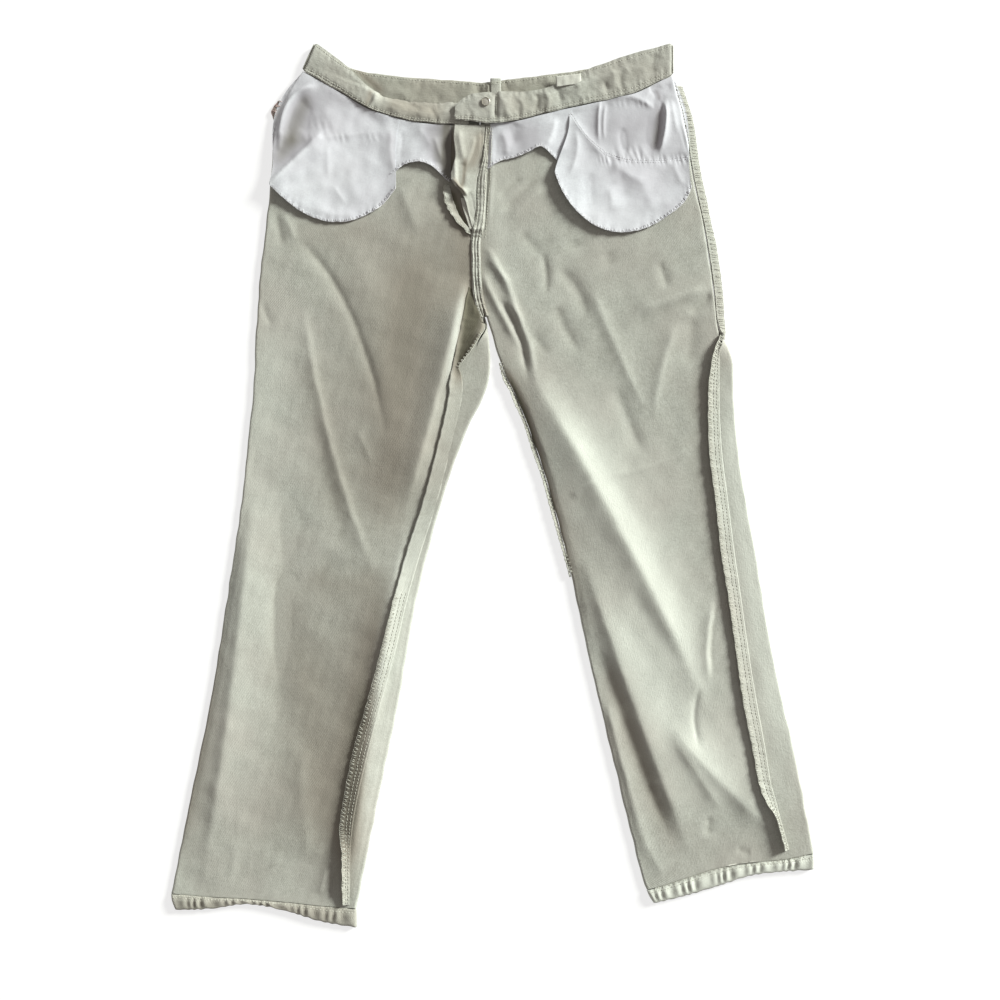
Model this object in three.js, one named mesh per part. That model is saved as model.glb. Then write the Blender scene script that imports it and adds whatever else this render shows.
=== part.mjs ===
// Straight jeans turned inside out and laid flat, front up.
// Millimetres, +Z up, waist towards +Y. The origin is on the floor, at the middle of the outline.
// Left and right are those of someone looking down on the front: left is -X.
import * as THREE from 'three';

// Thicknesses
const clothWall = 1.2;
const bandWall = 2.8;
const hemWall = 2.2;
const pocketingWall = 1.0;
const seamGap = 0.4;
const clearance = 0.9; // under what lies on a panel

// Heights of the layers, each to its upper face
const layFlat = 5.2; // two panels, one on the other
const hemLay = 6.4;
const waistLay = 7.6; // back and front waistband
const tabLay = 10.9; // the waistband's end lapped over the other

const foldFade = 16; // folds die away over this distance from a rolled edge
const foldSoftness = 4; // rounds a fold's crest
const foldTaper = 0.28; // share of a fold's length over which each end dies away
const foldSteps = 24;
const rowsPerSection = 2;
const panelColumns = 12;
const arcSteps = 2; // for each quarter turn of a rolled edge
const backFlatColumns = 6;
const steepTurn = 1.4; // a near roll past this angle meets the other panel edge to edge
const turnedOver = 3; // a far roll past this angle lies on top
const returnStart = 2; // far roll at which a panel starts to return along the top
const returnSpan = 1.1;
const leastReturn = 3;

const colours = {
  twill: 0xb4b6a8,
  twillShade: 0xa6a899,
  pocketing: 0xdedfe3,
  thread: 0xc9cabd,
  metal: 0xd9d6c8,
  tag: 0xd8d8cc,
};

// Sections of each leg from waist to hem. near is the edge where front and back meet, far is the edge
// that the back wraps round, and seam is where the front ends. The rolls are in degrees: 90 turns a
// panel down to half height, 180 turns it right over. waist and hem are the shares of those lines'
// curves that the row keeps.
const sectionColumns = [
  'nearX', 'nearY', 'seamX', 'seamY', 'farX', 'farY', 'nearRoll', 'frontRoll', 'backRoll', 'waist', 'hem',
];
const leftSections = [
  [-214, 464, -14.3, 403, -14.3, 403, 90, 0, 0, 1, 0],
  [-231, 435, -15.2, 377, -15.2, 377, 90, 0, 0, 0.7, 0],
  [-245, 394, -16.5, 349, -16.5, 349, 90, 0, 0, 0.3, 0],
  [-250, 338, -18, 307, -18, 307, 90, 0, 0, 0, 0],
  [-256, 281, -18.5, 267, -18.5, 267, 90, 0, 0, 0, 0],
  [-262, 231, -17.3, 224, -17.3, 224, 90, 0, 0, 0, 0],
  [-264, 195, -12.6, 198, -12.6, 198, 90, 0, 20, 0, 0],
  [-266, 177, -11, 180, -6, 179, 90, 0, 120, 0, 0],
  [-267, 158, -18, 160, -4, 156, 90, 0, 180, 0, 0],
  [-268, 128, -30, 129, -3, 128, 90, 0, 180, 0, 0],
  [-270, 96, -36, 94, -12, 96, 90, 0, 180, 0, 0],
  [-274, 60, -43, 60, -30, 60, 90, 0, 180, 0, 0],
  [-282, -17, -63, -17, -57, -17, 90, 0, 180, 0, 0],
  [-299, -129, -97, -129, -86, -129, 90, 0, 180, 0, 0],
  [-317, -242, -125, -242, -106, -242, 90, 0, 180, 0, 0],
  [-340, -354, -154, -356, -130, -358, 90, 0, 180, 0, 0],
  [-361, -458, -163, -474, -153, -475, 90, 0, 180, 0, 1],
];
const rightSections = [
  [-14, 404, 201, 459, 201, 459, 0, 90, 90, 1, 0],
  [-15, 371, 214, 408, 214, 408, 0, 90, 90, 0.6, 0],
  [-17, 332, 226, 340, 226, 340, 0, 90, 90, 0.2, 0],
  [-18, 292, 236, 295, 236, 295, 0, 90, 90, 0, 0],
  [-18, 264, 242, 259, 242, 259, 0, 90, 90, 0, 0],
  [-16, 219, 248, 217, 248, 217, 10, 90, 90, 0, 0],
  [-7, 188, 251, 186, 251, 186, 60, 90, 90, 0, 0],
  [-1, 170, 254, 168, 258, 166, 90, 45, 135, 0, 0],
  [4, 150, 253, 145, 268, 144, 90, 0, 180, 0, 0],
  [14, 123, 254, 118, 270, 118, 90, 0, 180, 0, 0],
  [29, 93, 254, 91, 271, 91, 90, 0, 180, 0, 0],
  [56, 19, 260, 15, 279, 15, 90, 0, 180, 0, 0],
  [82, -76, 271, -76, 295, -75, 90, 0, 180, 0, 0],
  [107, -191, 287, -190, 314, -188, 90, 0, 180, 0, 0],
  [135, -309, 306, -300, 338, -298, 90, 0, 180, 0, 0],
  [165, -431, 331, -408, 358, -402, 90, 0, 180, 0, 0.3],
  [173, -454, 334, -418, 360, -413, 90, 0, 180, 0, 1],
];

// How far the waist and hem lines leave the straight row, at even steps from the near edge
const waistBends = {
  frontLeft: [0, -10, -20, -19, -11, 0],
  backLeft: [0, -13, -10, -2, 6, 17],
  frontRight: [0, -6, -6, -8, -9, 0],
  backRight: [16, 7, 2, -2, -2, 0],
};
const hemBends = { left: [0, 0, 1, 1, 0, 0], right: [0, 3, 7, 6, 1, 0] };

// Folds: a ridge or, with a negative rise, a trough along a line bent through its middle point.
// litWidth is on the side of +X or +Y and shadeWidth on the other.
const foldColumns = ['startX', 'startY', 'midX', 'midY', 'endX', 'endY', 'litWidth', 'shadeWidth', 'rise'];
const leftFolds = [
  [-266, 20, -292, -232, -328, -460, 26, 11, 5],
  [-228, 34, -236, -129, -243, -343, 26, 26, -3],
  [-34, 240, -60, 112, -104, -40, 7, 44, 7.5],
  [-96, -20, -136, -270, -166, -470, 10, 30, 7],
  [-216, 225, -182, 45, -128, -108, 6, 10, 2],
  [-159, 270, -132, 174, -112, 28, 14, 22, 1.6],
];
const rightFolds = [
  [16, 165, 142, -52, 244, -262, 17, 24, 7.6],
  [96, -64, 158, -245, 228, -428, 26, 9, 5.2],
  [112, -160, 158, -290, 205, -410, 8, 9, -2.4],
  [201, -278, 227, -321, 262, -372, 14, 8, 2.2],
  [197, -264, 251, -328, 323, -393, 26, 10, 4],
  [-12, 260, 12, 210, 38, 146, 7, 6, 2.4],
  [152, 190, 201, 208, 252, 223, 9, 6, 2.2],
];

// Waistband: upper edge at even steps from the near end of the waist line
const bandTops = {
  frontLeft: [[-199, 496], [-166, 471], [-134, 443], [-97, 433], [-58, 430], [-20, 428]],
  frontRight: [[-12, 439], [29, 440], [70, 448], [110, 467], [153, 482], [201, 495]],
  backLeft: [[-199, 496], [-161, 469], [-122, 461], [-85, 457], [-49, 455], [-12, 452]],
  backRight: [[-12, 452], [30, 457], [72, 462], [115, 469], [158, 482], [201, 495]],
};
// Stretches of the waist lines that the bands follow, as shares, and the ends that are rolled
const bandStretches = {
  frontLeft: { rolls: ['start'], to: 0.94 },
  frontRight: { rolls: ['end'], from: 0.2 },
  backLeft: { rolls: ['start'], to: 0.995 },
  backRight: { rolls: ['end'], from: 0.03 },
};
const bandRowStep = 6; // least distance between rows of a band
const acrossBand = 3;
const sameSpot = 0.05;

// The lapped end: lower edge, upper edge and height
const tabColumns = ['lowX', 'lowY', 'topX', 'topY', 'height'];
const tabSections = [
  [-43, 408, -42, 424, tabLay],
  [-36, 408, -34, 432, tabLay],
  [-24, 407, -24, 437, tabLay],
  [-8, 404, -8, 439, tabLay],
  [8, 405, 8, 440, tabLay],
];

// Pocket bags and stays: shares of the waist line that they hang from, lower edge from left to right as
// [x, y], and how far their sides bow out
const pocketingColumns = 9;
const pocketingRows = 1.6; // for each point of the lower edge
const bagLeft = {
  top: { from: 0.02, to: 0.56 },
  bottom: [
    [-250, 336], [-234, 321], [-214, 306], [-189, 296], [-166, 295], [-144, 302], [-124, 314], [-109, 332],
  ],
  bows: [-29, -5],
  folds: [
    [-192, 446, -228, 430, -240, 376, 5, 5, 3],
    [-180, 408, -222, 362, -258, 330, 20, 12, 4.5],
    [-208, 372, -199, 344, -186, 300, 6, 8, 1.2],
    [-111, 405, -113, 372, -106, 345, 6, 9, 2.5],
  ],
};
const bagRight = {
  top: { from: 0.45, to: 0.985 },
  bottom: [
    [69, 350], [78, 328], [94, 306], [117, 289], [143, 283], [171, 288], [196, 302], [214, 317], [222, 333],
  ],
  bows: [9, 18],
  folds: [
    [83, 420, 78, 394, 71, 366, 8, 6, 2.4],
    [122, 432, 119, 410, 120, 380, 5, 5, 1.8],
    [132, 362, 150, 349, 179, 332, 12, 8, 2.2],
    [184, 436, 183, 405, 180, 372, 6, 7, -2.2],
    [192, 432, 193, 402, 186, 374, 6, 6, 3.4],
  ],
};
const stayLeft = {
  top: { from: 0.563, to: 0.845 },
  bottom: [[-107.4, 352], [-96, 360], [-82, 362], [-68, 357], [-57, 347], [-48.5, 341]],
  bows: [-1.3, 0],
  folds: [[-76, 393, -63, 381, -58, 363, 5, 6, 1.8]],
};
const stayRight = {
  top: { from: 0.12, to: 0.445 },
  bottom: [[-4.6, 355], [18, 363], [35, 366], [47, 373], [56, 378], [63, 371], [72, 366]],
  bows: [-6, 8],
  folds: [[8, 399, 15, 382, 14, 366, 6, 6, 1.4]],
};

// Strips laid on the front: left edge, right edge, and how far each stands off it, from top to bottom
const stripColumns = ['leftX', 'leftY', 'leftLift', 'rightX', 'rightY', 'rightLift'];
const flyShield = [
  [-43, 402.5, 0.8, -9, 402.5, 0.2],
  [-44, 388, 3, -10, 388, 0.4],
  [-42, 368, 4, -12, 368, 0.6],
  [-45, 354, 4.8, -15, 354, 0.8],
  [-47, 341, 5, -18, 341, 1.2],
  [-33, 323, 4, -19, 321, 1],
  [-27, 303, 2, -19.2, 303, 0.5],
  [-23.4, 289, 0.2, -20.6, 289, 0],
];
const flyFacing = [
  [-54, 337, 1.6, -49.5, 335, 0.4],
  [-55, 326, 2, -44, 325, 0.4],
  [-52, 313, 1.6, -38, 313, 0.3],
  [-44, 299, 1.8, -33, 299, 0.2],
  [-35, 289, 1, -28.5, 289, 0.2],
  [-27.5, 281, 0.4, -24, 281, 0],
];
const zipTape = [
  [-39, 322, 1.2, -35, 321, 1.2],
  [-36, 312, 1, -31.5, 312, 1],
  [-31, 299, 0.6, -27.6, 299, 0.6],
  [-26.5, 287, 0.3, -24, 287, 0.3],
];

// The felled seam down the centre front, beside the fly and below it
const riseSeam = [
  [-8.4, 401, 0, -3, 401, 0],
  [-9.4, 388, 0, -4.5, 388, 0],
  [-11.4, 368, 0, -6, 368, 0],
  [-14.4, 354, 0, -7, 354, 0],
  [-17.4, 341, 0, -8, 341, 0],
  [-18.4, 321, 0, -9, 321, 0],
  [-18.4, 303, 0, -10, 303, 0],
  [-19, 290, 0, -11.5, 290, 0],
  [-22, 277, 0, -13.5, 277, 0],
  [-24, 264, 0, -14, 264, 0],
  [-23, 242, 0, -13, 242, 0],
  [-22, 219, 0, -12, 219, 0],
  [-20, 203, 0, -10, 203, 0],
  [-15, 189, 0, -6, 192, 0],
];

// Seam allowances lying on the front. The left one falls to the right above its twist and to the left
// below it.
const inseamLeft = [
  [-27, 220, 0.2, -23.6, 218, 0.2],
  [-30, 209, 0.2, -21.6, 202, 0.6],
  [-33, 192, 0.2, -17, 187, 2],
  [-36, 178, 0.2, -11, 178, 4],
  [-38.5, 166, 0.3, -15, 168, 5],
  [-41, 154, 0.4, -23, 154, 5],
  [-43.5, 142, 0.6, -32, 142, 4.5],
  [-45.5, 132, 1, -39, 132, 2.5],
  [-47, 124, 1.6, -35, 125, 0.6],
  [-49, 112, 2, -33, 112, 0.4],
  [-50, 96, 2, -36, 94, 0.4],
  [-60, 51, 2, -46, 51, 0.4],
  [-78, -17, 2, -63, -17, 0.4],
  [-96, -73, 2.2, -81, -73, 0.4],
  [-111, -129, 2, -97, -129, 0.4],
  [-125, -186, 1.2, -110, -186, 1],
  [-140, -242, 0.8, -125, -242, 1.6],
  [-156, -298, 0.8, -140, -298, 2],
  [-167, -354, 1, -153, -354, 2],
  [-171, -388, 2, -158, -386, 1.4],
  [-168, -411, 5, -160, -411, 0.6],
  [-168, -444, 6, -161, -442, 0.4],
  [-168, -471, 3, -162, -471, 0.4],
];
const outseamRightLower = [
  [246, 146, 5, 253, 146, 0.4],
  [242, 118, 4, 254, 118, 0.4],
  [241, 96, 3.6, 254, 92, 0.4],
  [242, 39, 3.2, 257, 36, 0.4],
  [249, -17, 3.4, 264, -19, 0.4],
  [255, -73, 3, 271, -75, 0.4],
  [264, -129, 3.2, 279, -131, 0.4],
  [272, -186, 2.8, 287, -188, 0.4],
  [280, -242, 3, 296, -244, 0.4],
  [291, -298, 2.4, 306, -300, 0.4],
  [297, -332, 3, 311, -333, 0.4],
  [305, -354, 4, 317, -354, 0.4],
  [316, -371, 5, 322, -373, 0.4],
  [327, -409, 5, 332, -409, 0.4],
];

// Allowances that stick out past an edge of a leg and lie on the floor: the stretch of sections that
// they run along, and their widths at even steps
const outwardStrips = [
  {
    name: 'outseam_allowance_right_upper',
    table: rightSections,
    edge: 'far',
    side: 1,
    from: 0.3,
    to: 7.1,
    rows: 22,
    widths: [2, 8, 7, 9, 8, 10, 10, 9.5, 9.5, 8, 7],
  },
  {
    name: 'inseam_allowance_right',
    table: rightSections,
    edge: 'near',
    side: -1,
    from: 8.5,
    to: 12.25,
    rows: 20,
    widths: [1.6, 2.6, 4.5, 4, 5.2, 3.5, 5.2, 4, 4.6, 3.6, 1.6],
  },
  {
    name: 'outseam_allowance_left',
    table: leftSections,
    edge: 'near',
    side: -1,
    from: 1.1,
    to: 1.7,
    rows: 3,
    widths: [8, 11, 4],
  },
];

const outwardRise = 1.2; // height of such a strip along the leg
const outwardGap = 0.6; // from the leg's edge

// Small pieces
const tack = { x: -8, y: 428, radius: 4.6, height: 2.2, sides: 16 };
// Shares of the tack's radius and height
const tackProfile = [[0, 0], [1, 0], [1, 0.3], [0.75, 0.7], [0.4, 0.95], [0, 1]];
const tag = { corners: [[70, 457, 98, 460], [71, 445, 99, 449]], thickness: 1 };
const loop = { left: -3, right: 9, top: 456, bottom: 426, thickness: 1.3 };

const materials = {};

function material(name) {
  if (!materials[name]) {
    const metal = name === 'metal';
    materials[name] = new THREE.MeshStandardMaterial({
      color: colours[name],
      roughness: metal ? 0.4 : 0.9,
      metalness: metal ? 0.6 : 0,
    });
  }
  return materials[name];
}

function mix(a, b, t) {
  return a + (b - a) * t;
}

function smooth(t) {
  const c = Math.min(1, Math.max(0, t));
  return c * c * (3 - 2 * c);
}

function radians(degrees) {
  return (degrees * Math.PI) / 180;
}

// Rounded curve through the numbers, kept between its neighbours
function along(values, t) {
  const last = values.length - 1;
  const place = Math.min(Math.max(t, 0), last - 1e-9);
  const i = Math.floor(place);
  const f = place - i;
  const [a, b] = [values[i], values[i + 1]];
  const tangentA = (b - values[Math.max(i - 1, 0)]) / 2;
  const tangentB = (values[Math.min(i + 2, last)] - a) / 2;
  const f2 = f * f;
  const f3 = f2 * f;
  const value = (2 * f3 - 3 * f2 + 1) * a + (f3 - 2 * f2 + f) * tangentA
    + (3 * f2 - 2 * f3) * b + (f3 - f2) * tangentB;
  return Math.min(Math.max(value, Math.min(a, b)), Math.max(a, b));
}

// A table's row with its columns' names
function named(columns, row) {
  return Object.fromEntries(columns.map((column, i) => [column, row[i]]));
}

function sampleSection(table, columns, t) {
  return named(columns, columns.map((_, i) => along(table.map((row) => row[i]), t)));
}

function bendAt(bends, share) {
  return along(bends, share * (bends.length - 1));
}

// Nearest place on a fold's line to a point, as a share of the line, with the side that the point lies on
function nearestOn(fold, x, y) {
  const bendX = 2 * fold.midX - (fold.startX + fold.endX) / 2;
  const bendY = 2 * fold.midY - (fold.startY + fold.endY) / 2;
  const nearest = { distance: Infinity, place: 0, side: 0 };
  for (let i = 0; i <= foldSteps; i += 1) {
    const u = i / foldSteps;
    const [first, second, third] = [(1 - u) ** 2, 2 * u * (1 - u), u * u];
    const offX = x - first * fold.startX - second * bendX - third * fold.endX;
    const offY = y - first * fold.startY - second * bendY - third * fold.endY;
    const distance = Math.hypot(offX, offY);
    if (distance < nearest.distance) {
      const slopeX = mix(bendX - fold.startX, fold.endX - bendX, u);
      const slopeY = mix(bendY - fold.startY, fold.endY - bendY, u);
      Object.assign(nearest, { distance, place: u, side: slopeX * offY - slopeY * offX });
    }
  }
  return nearest;
}

// Height that the folds add at a point
function foldRise(folds, x, y) {
  let rise = 0;
  for (const row of folds) {
    const fold = named(foldColumns, row);
    const { distance, place, side } = nearestOn(fold, x, y);
    const width = side > 0 ? fold.litWidth : fold.shadeWidth;
    const taper = smooth(place / foldTaper) * smooth((1 - place) / foldTaper);
    rise += fold.rise * taper * Math.exp(-(Math.hypot(distance, foldSoftness) - foldSoftness) / width);
  }
  return Math.max(rise, 0);
}

// A point on the row from the near edge to the far edge, u millimetres along
function rowPoint(section, u, width, bends, hemBend) {
  const share = Math.min(Math.max(u / width, 0), 1);
  const x = mix(section.nearX, section.farX, u / width);
  const y = mix(section.nearY, section.farY, u / width);
  const bend = section.waist * bendAt(bends, share) + section.hem * bendAt(hemBend, share);
  return [x, y + bend];
}

// One panel of a leg as a grid of points on its outer face.
// The front lies on top, from the near edge to the seam. The back lies on the floor, from the near
// edge to the far one, which it wraps round to reach the seam on top.
function panelGrid(options) {
  const { table, bends, hemBend, folds, isFront, lay, samples } = options;
  const radius = lay / 2;
  const step = (radius * Math.PI) / 2 / arcSteps;
  const meetTrim = seamGap / 2 / radius;
  const grid = [];
  for (const t of samples) {
    const section = sampleSection(table, sectionColumns, t);
    const width = Math.hypot(section.farX - section.nearX, section.farY - section.nearY);
    const seam = Math.hypot(section.seamX - section.nearX, section.seamY - section.nearY);
    const nearTurn = radians(section.nearRoll);
    const farTurn = radians(isFront ? section.frontRoll : section.backRoll);
    const reach = isFront ? seam : width;
    const farExtent = radius * Math.sin(Math.min(farTurn, Math.PI / 2));
    const flat = reach - radius * Math.sin(nearTurn) - farExtent;
    const turnback = isFront ? 0 : returnWidth(width - seam - radius, farTurn);
    const meet = nearTurn > steepTurn ? meetTrim * radius : seamGap / 2;
    const end = radius * (nearTurn + farTurn) + flat + turnback - seamGap / 2;
    const lengths = panelLengths({ isFront, step, start: meet, end, turnback });
    const across = new THREE.Vector3(section.farX - section.nearX, section.farY - section.nearY, 0);
    across.normalize();
    const fadeNear = section.nearRoll / 90;
    const fadeFar = Math.min(1, Math.max(section.frontRoll, section.backRoll) / 90);
    grid.push(lengths.map((length) => {
      const { u, z, turn, onTop } = pathPoint({ length, nearTurn, farTurn, flat, radius, lay, isFront });
      const [x, y] = rowPoint(section, u, width, bends, hemBend);
      const nearFade = 1 - fadeNear * (1 - smooth(u / foldFade));
      const farFade = 1 - fadeFar * (1 - smooth((width - u) / foldFade));
      const rise = onTop ? foldRise(folds, x, y) * nearFade * farFade : 0;
      const normal = across.clone().multiplyScalar(Math.sin(turn));
      normal.setZ(isFront ? Math.cos(turn) : -Math.cos(turn));
      return { point: new THREE.Vector3(x, y, z + rise), normal };
    }));
  }
  return grid;
}

// Width of the stretch that a back returns along the top, from the room for it
function returnWidth(room, farTurn) {
  return Math.max(room, 0) * smooth((farTurn - returnStart) / returnSpan);
}

// Places of the columns, as lengths along the section's path
function panelLengths({ isFront, step, start, end, turnback }) {
  const nearEnds = [0, 1, 2].map((i) => start + i * step);
  const farSteps = isFront ? arcSteps : 2 * arcSteps;
  const returned = isFront ? 0 : Math.max(turnback, leastReturn);
  const farStart = end - returned - farSteps * step;
  const flatColumns = isFront ? panelColumns : backFlatColumns;
  const lengths = [...nearEnds];
  for (let i = 1; i <= flatColumns; i += 1) {
    lengths.push(mix(nearEnds[2], farStart, i / flatColumns));
  }
  for (let i = 1; i <= farSteps; i += 1) {
    lengths.push(farStart + i * step);
  }
  if (!isFront) {
    lengths.push(end - returned / 2, end);
  }
  return lengths;
}

// Distance from the near edge, height and turn at a length along the section's path
function pathPoint({ length, nearTurn, farTurn, flat, radius, lay, isFront }) {
  const nearArc = radius * nearTurn;
  const level = (turn) => (isFront ? lay - radius * (1 - Math.cos(turn)) : radius * (1 - Math.cos(turn)));
  const nearCentre = radius * Math.sin(nearTurn);
  if (length < nearArc) {
    const turn = nearTurn - length / radius;
    return { u: nearCentre - radius * Math.sin(turn), z: level(turn), turn: -turn, onTop: false };
  }
  if (length < nearArc + flat) {
    return { u: nearCentre + length - nearArc, z: level(0), turn: 0, onTop: isFront };
  }
  const turn = Math.min((length - nearArc - flat) / radius, farTurn);
  const u = nearCentre + flat + radius * Math.sin(turn);
  const past = Math.max(length - nearArc - flat - radius * farTurn, 0);
  return {
    u: u + past * Math.cos(farTurn),
    z: level(turn) + past * Math.sin(farTurn),
    turn,
    onTop: past > 0 && farTurn > turnedOver,
  };
}

function tableSamples(table, perSection) {
  const count = (table.length - 1) * perSection;
  return Array.from({ length: count + 1 }, (_, i) => i / perSection);
}

// A closed wall from a grid of points on its outer face and the directions that it faces
function wallMesh(name, grid, thickness, materialName) {
  const rows = grid.length;
  const columns = grid[0].length;
  const outer = grid.flat().map((cell) => cell.point);
  const inner = grid.flat().map((cell) => cell.point.clone().addScaledVector(cell.normal, -thickness));
  const outside = (r, c) => r * columns + c;
  const inside = (r, c) => (rows + r) * columns + c;
  const faces = [];
  const quad = (a, b, c, d) => faces.push(a, b, c, a, c, d);
  for (let r = 0; r < rows - 1; r += 1) {
    for (let c = 0; c < columns - 1; c += 1) {
      quad(outside(r, c), outside(r, c + 1), outside(r + 1, c + 1), outside(r + 1, c));
      quad(inside(r, c), inside(r + 1, c), inside(r + 1, c + 1), inside(r, c + 1));
    }
  }
  for (let c = 0; c < columns - 1; c += 1) {
    quad(outside(0, c), inside(0, c), inside(0, c + 1), outside(0, c + 1));
    quad(outside(rows - 1, c + 1), inside(rows - 1, c + 1), inside(rows - 1, c), outside(rows - 1, c));
  }
  for (let r = 0; r < rows - 1; r += 1) {
    quad(outside(r + 1, 0), inside(r + 1, 0), inside(r, 0), outside(r, 0));
    const last = columns - 1;
    quad(outside(r, last), inside(r, last), inside(r + 1, last), outside(r + 1, last));
  }
  return bodyMesh(name, [...outer, ...inner], faces, materialName);
}

// A mesh from points and faces, turned so that its faces point out
function bodyMesh(name, points, faces, materialName) {
  let volume = 0;
  for (let i = 0; i < faces.length; i += 3) {
    const [a, b, c] = [points[faces[i]], points[faces[i + 1]], points[faces[i + 2]]];
    volume += a.dot(b.clone().cross(c)) / 6;
  }
  const outward = volume < 0 ? faces.slice().reverse() : faces;
  const geometry = new THREE.BufferGeometry();
  const numbers = points.flatMap((p) => p.toArray());
  geometry.setAttribute('position', new THREE.Float32BufferAttribute(numbers, 3));
  geometry.setIndex(outward);
  geometry.computeVertexNormals();
  const mesh = new THREE.Mesh(geometry, material(materialName));
  mesh.name = name;
  return mesh;
}

const edgeSlack = 0.01;
const leastArea = 1e-6;

// Height of the panels' upper face under a point
function surfaceOf(grids) {
  const triangles = [];
  for (const grid of grids) {
    for (let r = 0; r < grid.length - 1; r += 1) {
      for (let c = 0; c < grid[0].length - 1; c += 1) {
        const corners = [grid[r][c], grid[r][c + 1], grid[r + 1][c + 1], grid[r + 1][c]];
        const [a, b, d, e] = corners.map((cell) => cell.point);
        triangles.push([a, b, d], [a, d, e]);
      }
    }
  }
  const corners = triangles.flat();
  return (x, y) => {
    let height = 0;
    for (const [a, b, c] of triangles) {
      const area = (b.x - a.x) * (c.y - a.y) - (c.x - a.x) * (b.y - a.y);
      if (Math.abs(area) > leastArea) {
        const v = ((x - a.x) * (c.y - a.y) - (c.x - a.x) * (y - a.y)) / area;
        const w = ((b.x - a.x) * (y - a.y) - (x - a.x) * (b.y - a.y)) / area;
        if (v >= -edgeSlack && w >= -edgeSlack && v + w <= 1 + edgeSlack) {
          height = Math.max(height, a.z + v * (b.z - a.z) + w * (c.z - a.z));
        }
      }
    }
    if (height === 0) {
      const distance = (p) => Math.hypot(p.x - x, p.y - y);
      height = corners.reduce((best, p) => (distance(p) < distance(best) ? p : best)).z;
    }
    return Math.max(height, layFlat);
  };
}

const up = new THREE.Vector3(0, 0, 1);

// A grid between two lines, each a list of [x, y, lift], laid on a surface
function laidGrid(surface, first, second, options) {
  const { rows, columns, thickness, folds = [], bow = () => 0 } = options;
  const at = (line, share, axis) => along(line.map((p) => p[axis] || 0), share * (line.length - 1));
  return Array.from({ length: rows + 1 }, (_, r) => Array.from({ length: columns + 1 }, (__, c) => {
    const a = r / rows;
    const b = c / columns;
    const x = mix(at(first, a, 0), at(second, a, 0), b) + bow(a, b);
    const y = mix(at(first, a, 1), at(second, a, 1), b);
    const lift = mix(at(first, a, 2), at(second, a, 2), b) + foldRise(folds, x, y);
    return { point: new THREE.Vector3(x, y, surface(x, y) + clearance + thickness + lift), normal: up };
  }));
}

const parts = new THREE.Group();

// Legs with their halves of the seat and front
function addLeg(side, table, folds, frontBends, backBends, hemBend) {
  const samples = tableSamples(table, rowsPerSection);
  const shared = { table, hemBend, folds, lay: layFlat, samples };
  const front = panelGrid({ ...shared, bends: frontBends, isFront: true });
  const back = panelGrid({ ...shared, bends: backBends, isFront: false });
  parts.add(wallMesh(`front_${side}`, front, clothWall, 'twill'));
  parts.add(wallMesh(`back_${side}`, back, clothWall, 'twillShade'));
  const turnback = back.map((row) => row.slice(-4));
  return { front, back, surface: surfaceOf([front, turnback]) };
}

const legLeft = addLeg(
  'left', leftSections, leftFolds, waistBends.frontLeft, waistBends.backLeft, hemBends.left,
);
const legRight = addLeg(
  'right', rightSections, rightFolds, waistBends.frontRight, waistBends.backRight, hemBends.right,
);

// Waistband: each stretch stands on the points of the panel that it is sewn to
function waistLine(grid) {
  const line = [];
  for (const { point } of grid[0]) {
    const before = line[line.length - 1];
    if (!before || Math.hypot(point.x - before[0], point.y - before[1]) > sameSpot) {
      line.push([point.x, point.y]);
    }
  }
  return line;
}

function stepLengths(line) {
  return line.slice(1).map((p, i) => Math.hypot(p[0] - line[i][0], p[1] - line[i][1]));
}

function lineLength(line) {
  return stepLengths(line).reduce((sum, step) => sum + step, 0);
}

// Point at a share of a line's length
function onLine(line, share) {
  const steps = stepLengths(line);
  let left = share * lineLength(line);
  for (let i = 0; i < steps.length; i += 1) {
    if (left <= steps[i] || i === steps.length - 1) {
      const t = left / steps[i];
      return [mix(line[i][0], line[i + 1][0], t), mix(line[i][1], line[i + 1][1], t)];
    }
    left -= steps[i];
  }
  return line[line.length - 1];
}

// Shares of a line's length at which its own points stand, between two limits
function lineShares(line, from, to) {
  const steps = stepLengths(line);
  const whole = lineLength(line);
  const least = bandRowStep / whole;
  const shares = [from];
  let run = 0;
  for (const step of steps) {
    run += step / whole;
    if (run > shares[shares.length - 1] + least && run < to - least) {
      shares.push(run);
    }
  }
  return [...shares, to];
}

function bandRow(low, top, height, turn = 0, outward = [0, 0], isFront = true) {
  const [aside, upward] = [Math.sin(turn), isFront ? Math.cos(turn) : -Math.cos(turn)];
  const normal = new THREE.Vector3(outward[0] * aside, outward[1] * aside, upward);
  return Array.from({ length: acrossBand + 1 }, (_, i) => {
    const [x, y] = [0, 1].map((axis) => mix(low[axis], top[axis], i / acrossBand));
    return { point: new THREE.Vector3(x, y, height), normal };
  });
}

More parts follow.
